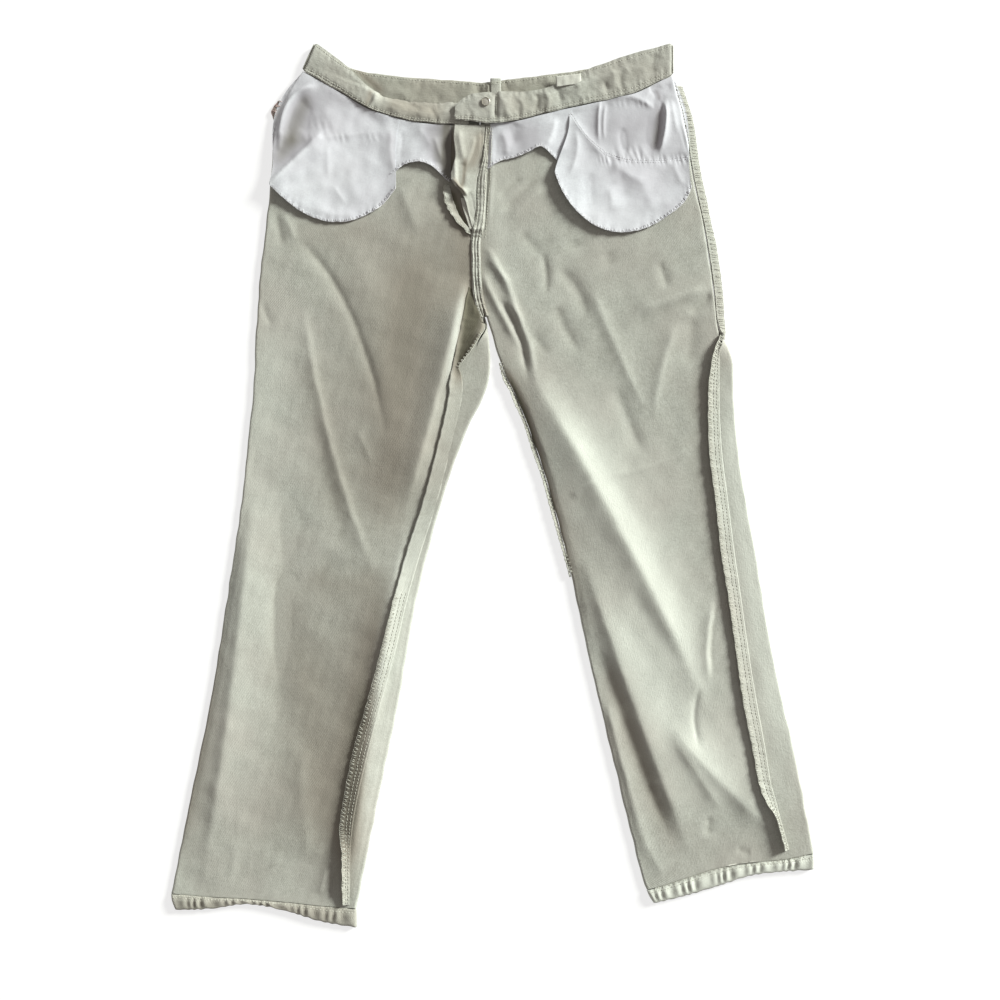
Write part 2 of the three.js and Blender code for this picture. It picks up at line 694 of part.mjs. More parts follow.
// Rows of a band along a waist line, with the ends named in rolls turned to half height
function bandRows(line, tops, { from = 0, to = 1, rolls = [], isFront }) {
  const radius = waistLay / 2;
  const inset = radius / lineLength(line);
  const topAt = (share) => [0, 1].map((axis) => along(tops.map((p) => p[axis]), share * (tops.length - 1)));
  const lowAt = (share) => {
    const [x, y] = onLine(line, share);
    return [x, y + seamGap];
  };
  const level = (turn) => {
    const drop = radius * (1 - Math.cos(turn));
    return isFront ? waistLay - drop : drop;
  };
  const rowAt = (share, turn, side) => {
    const [first, last] = side < 0 ? [lowAt(inset), lowAt(0)] : [lowAt(1 - inset), lowAt(1)];
    const length = Math.hypot(last[0] - first[0], last[1] - first[1]);
    const outward = [(last[0] - first[0]) / length, (last[1] - first[1]) / length];
    return bandRow(lowAt(share), topAt(share), level(turn), turn, outward, isFront);
  };
  const most = Math.PI / 2 - seamGap / 2 / radius;
  const turns = [most, Math.PI / 4];
  const begins = rolls.includes('start');
  const ends = rolls.includes('end');
  const shares = lineShares(line, begins ? inset : from, ends ? 1 - inset : to);
  const flat = shares.map((share) => rowAt(share, 0, -1));
  const inward = (turn) => inset * (1 - Math.sin(turn));
  const startRows = begins ? turns.map((turn) => rowAt(inward(turn), turn, -1)) : [];
  const endRows = ends ? turns.map((turn) => rowAt(1 - inward(turn), turn, 1)).reverse() : [];
  return [...startRows, ...flat, ...endRows];
}

const waistLines = {
  frontLeft: waistLine(legLeft.front),
  backLeft: waistLine(legLeft.back),
  frontRight: waistLine(legRight.front),
  backRight: waistLine(legRight.back),
};

function bandFor(place, isFront) {
  return bandRows(waistLines[place], bandTops[place], { ...bandStretches[place], isFront });
}

function addWaistband() {
  const tab = tabSections.map((row) => {
    const { lowX, lowY, topX, topY, height } = named(tabColumns, row);
    return bandRow([lowX, lowY], [topX, topY], height);
  });
  parts.add(wallMesh('waistband_left', bandFor('frontLeft', true), bandWall, 'twill'));
  parts.add(wallMesh('waistband_right', [...tab, ...bandFor('frontRight', true)], bandWall, 'twill'));
  const back = [...bandFor('backLeft', false), ...bandFor('backRight', false)];
  parts.add(wallMesh('waistband_back', back, bandWall, 'twillShade'));
}

addWaistband();

// Hems: a thicker band round each leg's end, whose front ends at the far edge too
const hemLeftSections = [
  [-361, -459, -153, -476, -153, -476, 90, 90, 90, 0, 1],
  [-360, -467, -153, -486, -153, -486, 90, 90, 90, 0.5, 0.5],
  [-357, -476, -153, -496, -153, -496, 90, 90, 90, 1, 0],
];
const hemRightSections = [
  [173, -455, 360, -414, 360, -414, 90, 90, 90, 0, 1],
  [176, -462, 361, -422, 361, -422, 90, 90, 90, 0.5, 0.5],
  [180, -469, 360, -431, 360, -431, 90, 90, 90, 1, 0],
];
const hemEdges = { left: [0, 5, 14, 11, 3, 0], right: [0, 1, 4, 8, 5, 0] };

function addHem(side, table, hemBend) {
  const samples = tableSamples(table, 1);
  const shared = { table, bends: hemEdges[side], hemBend, folds: [], lay: hemLay, samples };
  const front = panelGrid({ ...shared, isFront: true });
  const back = panelGrid({ ...shared, isFront: false });
  parts.add(wallMesh(`hem_front_${side}`, front, hemWall, 'twill'));
  parts.add(wallMesh(`hem_back_${side}`, back, hemWall, 'twillShade'));
}

addHem('left', hemLeftSections, hemBends.left);
addHem('right', hemRightSections, hemBends.right);

// Pocketing hung from the waist line
function addPocketing(name, leg, line, shape) {
  const stretches = shape.bottom.length - 1;
  const top = shape.bottom.map((_, i) => {
    const [x, y] = onLine(line, mix(shape.top.from, shape.top.to, i / stretches));
    return [x, y - clearance, 0];
  });
  const [bowLeft, bowRight] = shape.bows;
  const bow = (a, b) => Math.sin(Math.PI * b) * (1 - b) * (bowLeft * (1 - a) ** 3 + bowRight * a ** 3);
  const grid = laidGrid(leg.surface, top, shape.bottom, {
    rows: Math.round(stretches * pocketingRows),
    columns: pocketingColumns,
    thickness: pocketingWall,
    folds: shape.folds,
    bow,
  });
  parts.add(wallMesh(name, grid, pocketingWall, 'pocketing'));
}

addPocketing('pocket_bag_left', legLeft, waistLines.frontLeft, bagLeft);
addPocketing('pocket_bag_right', legRight, waistLines.frontRight, bagRight);
addPocketing('pocket_stay_left', legLeft, waistLines.frontLeft, stayLeft);
addPocketing('pocket_stay_right', legRight, waistLines.frontRight, stayRight);

// Strips laid on the front between a left and a right edge
const surfaceFront = (x, y) => Math.max(legLeft.surface(x, y), legRight.surface(x, y));

function addStrip(name, table, { rows, columns, thickness, materialName }) {
  const edges = table.map((row) => named(stripColumns, row));
  const left = edges.map((edge) => [edge.leftX, edge.leftY, edge.leftLift]);
  const right = edges.map((edge) => [edge.rightX, edge.rightY, edge.rightLift]);
  const grid = laidGrid(surfaceFront, left, right, { rows, columns, thickness });
  parts.add(wallMesh(name, grid, thickness, materialName));
}

const twillStrip = { thickness: clothWall, materialName: 'twill' };
addStrip('fly_shield', flyShield, { ...twillStrip, rows: 14, columns: 4 });
addStrip('fly_facing', flyFacing, { ...twillStrip, rows: 10, columns: 2, materialName: 'twillShade' });
addStrip('zip_tape', zipTape, { ...twillStrip, rows: 5, columns: 1, materialName: 'thread' });
addStrip('rise_seam', riseSeam, { ...twillStrip, rows: 24, columns: 2 });
addStrip('inseam_allowance_left', inseamLeft, { ...twillStrip, rows: 62, columns: 2 });
addStrip('outseam_allowance_right_lower', outseamRightLower, { ...twillStrip, rows: 39, columns: 2 });

// A strip on the floor beside a leg, higher along the leg than at its free edge
function addOutward({ name, table, edge, side, from, to, rows, widths }) {
  const inner = [];
  const free = [];
  for (let i = 0; i <= rows; i += 1) {
    const section = sampleSection(table, sectionColumns, mix(from, to, i / rows));
    const [x, y] = [section[`${edge}X`] + side * outwardGap, section[`${edge}Y`]];
    inner.push([x, y, outwardRise - clearance]);
    free.push([x + side * along(widths, (i / rows) * (widths.length - 1)), y, -clearance]);
  }
  const grid = laidGrid(() => 0, inner, free, { rows, columns: 2, thickness: clothWall });
  parts.add(wallMesh(name, grid, clothWall, 'twill'));
}

outwardStrips.forEach(addOutward);

// Button tack: a low dome standing on the lapped end
function addTack() {
  const points = tackProfile.map(([out, above]) => new THREE.Vector2(out * tack.radius, above * tack.height));
  const mesh = new THREE.Mesh(new THREE.LatheGeometry(points, tack.sides), material('metal'));
  mesh.name = 'button_tack';
  mesh.rotation.x = Math.PI / 2;
  mesh.position.set(tack.x, tack.y, tabLay + seamGap);
  parts.add(mesh);
}

addTack();

// Plates made of two or more rows at a level: [leftX, leftY, rightX, rightY]
function addPlate(name, rows, { top, thickness, materialName }) {
  const grid = rows.map(([leftX, leftY, rightX, rightY]) => [
    { point: new THREE.Vector3(leftX, leftY, top), normal: up },
    { point: new THREE.Vector3(rightX, rightY, top), normal: up },
  ]);
  parts.add(wallMesh(name, grid, thickness, materialName));
}

addPlate('size_tag', tag.corners, {
  top: waistLay + seamGap + tag.thickness, thickness: tag.thickness, materialName: 'tag',
});
const loopCorners = [
  [loop.left, loop.top, loop.right, loop.top],
  [loop.left, loop.bottom, loop.right, loop.bottom],
];
addPlate('belt_loop', loopCorners, {
  top: bandWall + seamGap + loop.thickness, thickness: loop.thickness, materialName: 'twill',
});

export default parts;
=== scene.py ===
import math

import bpy
import numpy as np
from mathutils.bvhtree import BVHTree
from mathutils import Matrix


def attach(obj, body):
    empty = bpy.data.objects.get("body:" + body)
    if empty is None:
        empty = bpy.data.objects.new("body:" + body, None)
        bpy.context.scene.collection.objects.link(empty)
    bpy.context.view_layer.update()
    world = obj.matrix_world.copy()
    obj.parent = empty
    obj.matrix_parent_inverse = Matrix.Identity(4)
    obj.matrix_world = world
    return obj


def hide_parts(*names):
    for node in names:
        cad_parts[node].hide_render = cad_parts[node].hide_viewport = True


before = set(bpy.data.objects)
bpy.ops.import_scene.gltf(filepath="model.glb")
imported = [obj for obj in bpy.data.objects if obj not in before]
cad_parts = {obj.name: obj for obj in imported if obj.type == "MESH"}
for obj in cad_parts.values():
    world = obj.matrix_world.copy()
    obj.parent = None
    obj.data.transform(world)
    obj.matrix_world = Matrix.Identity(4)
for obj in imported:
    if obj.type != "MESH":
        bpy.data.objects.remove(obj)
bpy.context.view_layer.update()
print("frame loaded")

# Straight jeans turned inside out and laid flat, front up. Tables are in millimetres, in the frame of the CAD
# nodes: +X right, +Y to the waist, +Z up. Meshes are turned into metres as they are made.
mm = 0.001
lay = {"flat": 5.2, "hem": 6.4, "waist": 7.6, "seamGap": 0.1}
wall = {"cloth": 1.1, "pocketing": 0.7, "band": 2.6, "hem": 2.0, "tag": 0.7}

# ---- numbers along lines and over surfaces


def along(values, t):
    v = np.asarray(values, float)
    last = len(v) - 1
    place = np.clip(t, 0, last - 1e-9)
    i = place.astype(int)
    f = place - i
    a, b = v[i], v[i + 1]
    tangentA = (b - v[np.maximum(i - 1, 0)]) / 2
    tangentB = (v[np.minimum(i + 2, last)] - a) / 2
    value = (2 * f**3 - 3 * f**2 + 1) * a + (f**3 - 2 * f**2 + f) * tangentA
    value += (3 * f**2 - 2 * f**3) * b + (f**3 - f**2) * tangentB
    return np.clip(value, np.minimum(a, b), np.maximum(a, b))


def smooth(t):
    c = np.clip(t, 0, 1)
    return c * c * (3 - 2 * c)


def mix(a, b, t):
    return a + (b - a) * t


def ripple(x, y, size, seed):
    rng = np.random.default_rng(seed)
    total = np.zeros_like(x)
    for _ in range(7):
        angle, phase = rng.uniform(0, 2 * np.pi, 2)
        wave = size * rng.uniform(0.7, 1.5)
        total += np.sin((x * math.cos(angle) + y * math.sin(angle)) * 2 * np.pi / wave + phase)
    return total / 4


# An uneven wave along a seam
def pucker(s, pitch, seed):
    drift = np.sin(s * 2 * np.pi / (pitch * 3.7) + seed)
    drift = drift + 0.6 * np.sin(s * 2 * np.pi / (pitch * 6.1) + 2 * seed)
    return np.sin(s * 2 * np.pi / pitch + 1.6 * drift) * (0.75 + 0.25 * drift)


foldDetail = {"points": 41, "taper": 0.28, "reach": 4}


# Folds run downwards or to the right, through a middle point. litWidth is on the side of +X or +Y and
# shadeWidth on the other, softness rounds the crest, and a negative rise is a trough.
# Columns: startX, startY, midX, midY, endX, endY, litWidth, shadeWidth, softness, rise
def foldHeight(folds, x, y, relief=1.0):
    height = np.zeros_like(x)
    u = np.linspace(0, 1, foldDetail["points"])
    taperShare = foldDetail["taper"]
    for startX, startY, midX, midY, endX, endY, litWidth, shadeWidth, softness, rise in folds:
        line = []
        for start, mid, end in ((startX, midX, endX), (startY, midY, endY)):
            bend = 2 * mid - (start + end) / 2
            line.append((1 - u) ** 2 * start + 2 * u * (1 - u) * bend + u**2 * end)
        lineX, lineY = line
        reach = foldDetail["reach"] * max(litWidth, shadeWidth) + 2
        near = (x > lineX.min() - reach) & (x < lineX.max() + reach)
        near &= (y > lineY.min() - reach) & (y < lineY.max() + reach)
        if not near.any():
            continue
        px, py = x[near], y[near]
        k = ((px[:, None] - lineX) ** 2 + (py[:, None] - lineY) ** 2).argmin(1)
        slopeX, slopeY = np.gradient(lineX), np.gradient(lineY)
        step = np.hypot(slopeX, slopeY)
        slopeX, slopeY = slopeX / step, slopeY / step
        offX, offY = px - lineX[k], py - lineY[k]
        ahead = offX * slopeX[k] + offY * slopeY[k]
        side = slopeX[k] * offY - slopeY[k] * offX
        place = u[k] + ahead / step.sum()
        taper = smooth(place / taperShare) * smooth((1 - place) / taperShare)
        width = np.where(side > 0, litWidth, shadeWidth)
        height[near] += relief * rise * taper * np.exp(-(np.sqrt(side**2 + softness**2) - softness) / width)
    return height


# ---- meshes from grids


def gridNormals(grid, faceUp):
    normals = np.cross(np.gradient(grid, axis=1), np.gradient(grid, axis=0))
    normals /= np.maximum(np.linalg.norm(normals, axis=2, keepdims=True), 1e-9)
    upward = normals[..., 2].mean() > 0
    return (normals if upward == faceUp else -normals), upward == faceUp


def blurred(z, reach):
    for axis in (0, 1):
        width = min(reach, z.shape[axis] // 2)
        padded = np.concatenate([np.repeat(np.take(z, [0], axis), width, axis), z,
                                 np.repeat(np.take(z, [-1], axis), width, axis)], axis)
        total = np.cumsum(padded, axis)
        total = np.concatenate([np.zeros_like(np.take(total, [0], axis)), total], axis)
        size = 2 * width + 1
        count = z.shape[axis]
        z = (np.take(total, range(size, size + count), axis) - np.take(total, range(count), axis)) / size
    return z


def quadIndex(rows, columns):
    r, c = np.meshgrid(np.arange(rows - 1), np.arange(columns - 1), indexing="ij")
    corner = (r * columns + c).ravel()
    return np.stack([corner, corner + 1, corner + columns + 1, corner + columns], 1)


def newObject(name, points, quads, material, uv, values):
    mesh = bpy.data.meshes.new(name)
    mesh.vertices.add(len(points))
    mesh.vertices.foreach_set("co", (points * mm).astype(np.float32).ravel())
    mesh.loops.add(quads.size)
    mesh.loops.foreach_set("vertex_index", quads.astype(np.int32).ravel())
    mesh.polygons.add(len(quads))
    mesh.polygons.foreach_set("loop_start", np.arange(0, quads.size, 4, dtype=np.int32))
    mesh.polygons.foreach_set("use_smooth", np.ones(len(quads), bool))
    layer = mesh.uv_layers.new(name="cloth")
    layer.data.foreach_set("uv", (uv[quads.ravel()] * mm).astype(np.float32).ravel())
    for key, value in values.items():
        attribute = mesh.attributes.new(key, "FLOAT", "POINT")
        attribute.data.foreach_set("value", np.concatenate([value, value]).astype(np.float32).ravel())
    mesh.update(calc_edges=True)
    mesh.validate()
    mesh.materials.append(material)
    thing = bpy.data.objects.new(name, mesh)
    bpy.context.scene.collection.objects.link(thing)
    return thing


sheetSizes = {}
# The crest of a crease stands out from its surroundings; fade paints light above zero, shade below it and black
# shadow below -1
shellDetail = {"crestReach": 3, "crestHeight": 0.35, "darkest": -2, "lightest": 1}


# A closed shell of cloth under (or over) a grid of points, with its own UV in metres. Without softRim the
# edges of its rim are sharp, as where two pieces meet edge to edge.
def shell(name, grid, thickness, material, faceUp=True, paintedLightAndShade=(), softRim=True):
    rows, columns = grid.shape[:2]
    normals, kept = gridNormals(grid, faceUp)
    inner = grid - normals * thickness
    outerQuads = quadIndex(rows, columns)
    half = rows * columns
    rim = []
    for r in (0, rows - 1):
        a = r * columns + np.arange(columns - 1)
        corners = [a, a + 1, a + 1 + half, a + half] if r else [a + 1, a, a + half, a + 1 + half]
        rim.append(np.stack(corners, 1))
    for c in (0, columns - 1):
        a = np.arange(rows - 1) * columns + c
        b = a + columns
        corners = [b, a, a + half, b + half] if c else [a, b, b + half, a + half]
        rim.append(np.stack(corners, 1))
    quads = np.concatenate([outerQuads, outerQuads[:, ::-1] + half, *rim])
    if not kept:
        quads = quads[:, ::-1]
    across = np.linalg.norm(np.diff(grid, axis=1), axis=2)
    down = np.linalg.norm(np.diff(grid, axis=0), axis=2)
    u = np.concatenate([np.zeros((rows, 1)), np.cumsum(across, 1)], 1)
    v = np.concatenate([[0], np.cumsum(down[:, columns // 2])])[:, None] + np.zeros((1, columns))
    uv = np.stack([u, v], 2).reshape(-1, 2)
    z = grid[..., 2]
    crest = np.clip((z - blurred(z, shellDetail["crestReach"])) / shellDetail["crestHeight"], -1, 1)
    points = np.concatenate([grid.reshape(-1, 3), inner.reshape(-1, 3)])
    # Painted light and shade along the given lines
    fade = foldHeight(paintedLightAndShade, grid[..., 0], grid[..., 1])
    fade = np.clip(fade, shellDetail["darkest"], shellDetail["lightest"])
    thing = newObject(name, points, quads, material, np.concatenate([uv, uv]), {"crest": crest, "fade": fade})
    if not softRim:
        onRim = np.zeros((2, rows, columns), bool)
        onRim[:, [0, -1]] = onRim[:, :, [0, -1]] = True
        ends = np.empty(2 * len(thing.data.edges), np.int32)
        thing.data.edges.foreach_get("vertices", ends)
        thing.data.edges.foreach_set("use_edge_sharp", onRim.ravel()[ends.reshape(-1, 2)].all(1))
    area = (across[:-1] * (down[:, :-1] + down[:, 1:]) / 2).sum() * mm * mm
    sheetSizes[name] = (round(u[:, -1].max() * mm, 3), round(down.sum(0).max() * mm, 3), round(area, 5))
    return thing


# Rays look straight down, at each place and beside it, so that the gap at a seam is bridged
rays = {"from": 60, "shifts": (-0.9, 0, 0.9)}


# Heights of the topmost surface of some grids
def surfaceOf(grids):
    points, faces, count = [], [], 0
    for grid in grids:
        points += grid.reshape(-1, 3).tolist()
        faces += (quadIndex(*grid.shape[:2]) + count).tolist()
        count += grid.shape[0] * grid.shape[1]
    tree = BVHTree.FromPolygons(points, faces)

    def heights(x, y):
        found = []
        for px, py in zip(np.ravel(x), np.ravel(y)):
            hits = [tree.ray_cast((px + shift, py, rays["from"]), (0, 0, -1))[0] for shift in rays["shifts"]]
            hits = [hit[2] for hit in hits if hit is not None]
            found.append(max(hits) if hits else tree.find_nearest((px, py, lay["flat"]))[0][2])
        return np.array(found).reshape(np.shape(x))

    return heights


# ---- materials

# Colours between threads, of random warm patches and of painted light and shade, the slant of the weave in
# degrees, and its strengths
cottonLook = {
    "twill": {"light": (0.505, 0.520, 0.468), "dark": (0.372, 0.378, 0.332), "warm": (0.425, 0.404, 0.362),
              "wornAndPaintedLight": (0.63, 0.655, 0.59), "paintedShade": (0.270, 0.243, 0.200), "paintedHollowShadow": (0.125, 0.118, 0.082),
              "slant": 62, "rib": 0.16, "bump": 0.32, "sheen": 0.12},
    # A darker copy of the twill, as painted shade for the back band and the back hems
    "twillPaintedShade": {"light": (0.425, 0.435, 0.375), "dark": (0.310, 0.312, 0.262), "warm": (0.38, 0.36, 0.31),
                  "wornAndPaintedLight": (0.52, 0.54, 0.48), "paintedShade": (0.25, 0.225, 0.185), "paintedHollowShadow": (0.125, 0.118, 0.082),
                  "slant": 62, "rib": 0.16, "bump": 0.32, "sheen": 0.10},
    "pocketing": {"light": (0.70, 0.725, 0.755), "dark": (0.585, 0.60, 0.635), "warm": (0.64, 0.63, 0.675),
                  "wornAndPaintedLight": (0.80, 0.82, 0.84), "paintedShade": (0.43, 0.42, 0.45), "paintedHollowShadow": (0.19, 0.18, 0.155),
                  "slant": 0, "rib": 0.05, "bump": 0.14, "sheen": 0.08},
    "tape": {"light": (0.62, 0.63, 0.57), "dark": (0.50, 0.50, 0.44), "warm": (0.56, 0.54, 0.48),
             "wornAndPaintedLight": (0.7, 0.71, 0.65), "paintedShade": (0.4, 0.38, 0.33), "paintedHollowShadow": (0.2, 0.19, 0.15),
             "slant": 35, "rib": 0.14, "bump": 0.30, "sheen": 0.10},
    "ribbon": {"light": (0.66, 0.675, 0.61), "dark": (0.55, 0.55, 0.49), "warm": (0.60, 0.59, 0.53),
               "wornAndPaintedLight": (0.7, 0.71, 0.65), "paintedShade": (0.4, 0.38, 0.33), "paintedHollowShadow": (0.2, 0.19, 0.15),
               "slant": 90, "rib": 0.10, "bump": 0.20, "sheen": 0.10},
}
# Unevenness of the cloth. Columns: coordinates, scale, detail, roughness, low, high, tone
cottonNoise = {
    "grain": ("spot", 620.0, 3.0, 0.7, 0.3, 0.7, 0.62),
    "slubs": ("streaked", 1.0, 2.0, 0.5, 0.3, 0.7, 0.16),
    "weft": ("crossed", 1.0, 2.0, 0.5, 0.3, 0.7, 0.12),
    "flecks": ("spot", 260.0, 2.0, 0.6, 0.35, 0.65, 0.25),
    "blots": ("spot", 38.0, 5.0, 0.62, 0.3, 0.7, 0.16),
}
cottonBump = {"ribs": 0.5, "grain": 0.9, "slubs": 0.7, "flecks": 1.2}
# Where the fade attribute, painted light above zero and painted shade below it, reaches each colour. Columns:
# start, end, share
cottonPaintedLightAndShade = {"wornAndPaintedLight": (0.0, 1.0, 0.85), "paintedShade": (0.0, -1.0, 0.85), "paintedHollowShadow": (-1.0, -2.0, 0.95)}


def newMaterial(name):
    material = bpy.data.materials.new(name)
    material.use_nodes = True
    tree = material.node_tree
    shader = tree.nodes["Principled BSDF"]

    def add(kind, **inputs):
        node = tree.nodes.new(kind)
        for key, value in inputs.items():
            socket = node.inputs[key.replace("_", " ")]
            if isinstance(value, bpy.types.NodeSocket):
                tree.links.new(value, socket)
            else:
                socket.default_value = value
        return node

    return material, tree, shader, add


def mixColour(add, factor, a, b):
    node = add("ShaderNodeMix")
    node.data_type = "RGBA"
    tree = node.id_data
    for index, value in ((0, factor), (6, a), (7, b)):
        if isinstance(value, bpy.types.NodeSocket):
            tree.links.new(value, node.inputs[index])
        else:
            node.inputs[index].default_value = value if index == 0 else (*value, 1)
    return node.outputs[2]


def ranged(add, value, low, high, toLow, toHigh):
    return add("ShaderNodeMapRange", Value=value, From_Min=low, From_Max=high, To_Min=toLow,
               To_Max=toHigh).outputs["Result"]


def maths(add, operation, a, b):
    node = add("ShaderNodeMath")
    node.operation = operation
    for socket, value in zip(node.inputs, (a, b)):
        if isinstance(value, bpy.types.NodeSocket):
            node.id_data.links.new(value, socket)
        else:
            socket.default_value = value
    return node.outputs[0]


def summed(add, sockets):
    total = sockets[0]
    for socket in sockets[1:]:
        total = maths(add, "ADD", total, socket)
    return total


def cottonMaterial(name, look):
    material, tree, shader, add = newMaterial(name)
    place = add("ShaderNodeTexCoord")
    uv, spot = place.outputs["UV"], place.outputs["Object"]
    turned = add("ShaderNodeMapping", Vector=uv, Rotation=(0, 0, math.radians(look["slant"]))).outputs[0]
    places = {"spot": spot,
              "streaked": add("ShaderNodeMapping", Vector=uv, Scale=(900, 90, 1)).outputs[0],
              "crossed": add("ShaderNodeMapping", Vector=uv, Scale=(80, 700, 1)).outputs[0]}
    weave = {"ribs": add("ShaderNodeTexWave", Vector=turned, Scale=250.0, Distortion=1.2,
                         Detail=2.0, Detail_Scale=1.5).outputs["Fac"]}
    tones = []
    for key, (where, scale, detail, roughness, low, high, tone) in cottonNoise.items():
        weave[key] = add("ShaderNodeTexNoise", Vector=places[where], Scale=scale, Detail=detail,
                         Roughness=roughness).outputs["Fac"]
        tones.append(ranged(add, weave[key], low, high, -tone, tone))
    broad = add("ShaderNodeTexNoise", Vector=spot, Scale=9.0, Detail=3.0, Roughness=0.55).outputs["Fac"]
    crest, fade = add("ShaderNodeAttribute"), add("ShaderNodeAttribute")
    crest.attribute_name, fade.attribute_name = "crest", "fade"
    tones.append(ranged(add, weave["ribs"], 0.0, 1.0, -look["rib"], look["rib"]))
    # Crests are lighter as worn ridges, and creases darker as painted shade
    tones.append(ranged(add, crest.outputs["Fac"], -1.0, 1.0, 0.42, -0.30))
    tone = ranged(add, summed(add, tones), -0.8, 0.8, 0.0, 1.0)
    colour = mixColour(add, tone, look["light"], look["dark"])
    colour = mixColour(add, ranged(add, broad, 0.42, 0.72, 0.0, 0.75), colour, look["warm"])
    # Painted light and shade from the fade attribute, down to painted black shadow in the deepest hollows
    for key, (start, end, share) in cottonPaintedLightAndShade.items():
        colour = mixColour(add, ranged(add, fade.outputs["Fac"], start, end, 0.0, share), colour, look[key])
    tree.links.new(colour, shader.inputs["Base Color"])
    heights = summed(add, [maths(add, "MULTIPLY", weave[key], share) for key, share in cottonBump.items()])
    bump = add("ShaderNodeBump", Height=heights, Strength=look["bump"], Distance=0.0009)
    tree.links.new(bump.outputs[0], shader.inputs["Normal"])
    shader.inputs["Roughness"].default_value = 0.92
    shader.inputs["Sheen Weight"].default_value = look["sheen"]
    shader.inputs["Sheen Roughness"].default_value = 0.6
    shader.inputs["Specular IOR Level"].default_value = 0.2
    return material


materials = {name: cottonMaterial(name, look) for name, look in cottonLook.items()}

threadLook = {
    "sageThread": {"colour": (0.60, 0.60, 0.53), "other": (0.44, 0.44, 0.375)},
    "whiteThread": {"colour": (0.74, 0.74, 0.76), "other": (0.60, 0.60, 0.63)},
    "pinkThread": {"colour": (0.62, 0.46, 0.44), "other": (0.52, 0.46, 0.41)},
}


def threadMaterial(name, look):
    material, tree, shader, add = newMaterial(name)
    spot = add("ShaderNodeTexCoord").outputs["Object"]
    twist = add("ShaderNodeTexWave", Vector=spot, Scale=420.0, Distortion=3.0, Detail=1.0).outputs["Fac"]
    patches = add("ShaderNodeTexNoise", Vector=spot, Scale=160.0, Detail=2.0).outputs["Fac"]
    colour = mixColour(add, ranged(add, patches, 0.35, 0.65, 0.0, 1.0), look["colour"], look["other"])
    tree.links.new(colour, shader.inputs["Base Color"])
    bump = add("ShaderNodeBump", Height=twist, Strength=0.3, Distance=0.0002)
    tree.links.new(bump.outputs[0], shader.inputs["Normal"])
    shader.inputs["Roughness"].default_value = 0.75
    return material


materials.update({name: threadMaterial(name, look) for name, look in threadLook.items()})

# For the metal, the worn colour is its real wear
metalLook = {"colour": (0.72, 0.70, 0.63), "wornAndPaintedLight": (0.50, 0.47, 0.40), "roughness": 0.34}


def metalMaterial(name, look):
    material, tree, shader, add = newMaterial(name)
    spot = add("ShaderNodeTexCoord").outputs["Object"]
    wear = add("ShaderNodeTexNoise", Vector=spot, Scale=700.0, Detail=4.0).outputs["Fac"]
    colour = mixColour(add, ranged(add, wear, 0.45, 0.65, 0.0, 1.0), look["colour"], look["wornAndPaintedLight"])
    tree.links.new(colour, shader.inputs["Base Color"])
    tree.links.new(ranged(add, wear, 0.3, 0.7, look["roughness"], 0.6), shader.inputs["Roughness"])
    bump = add("ShaderNodeBump", Height=wear, Strength=0.2, Distance=0.0002)
    tree.links.new(bump.outputs[0], shader.inputs["Normal"])
    shader.inputs["Metallic"].default_value = 0.85
    return material


materials["metal"] = metalMaterial("metal", metalLook)
print("materials made")

# ---- legs

# Sections across a leg, from the waist down: its near and far edges and the seam between front and back, how
# far each edge rolls in degrees, and how much they have of the bends of the waist and the hem
sectionColumns = ["nearX", "nearY", "seamX", "seamY", "farX", "farY", "nearRoll", "frontRoll", "backRoll",
                  "waist", "hem"]

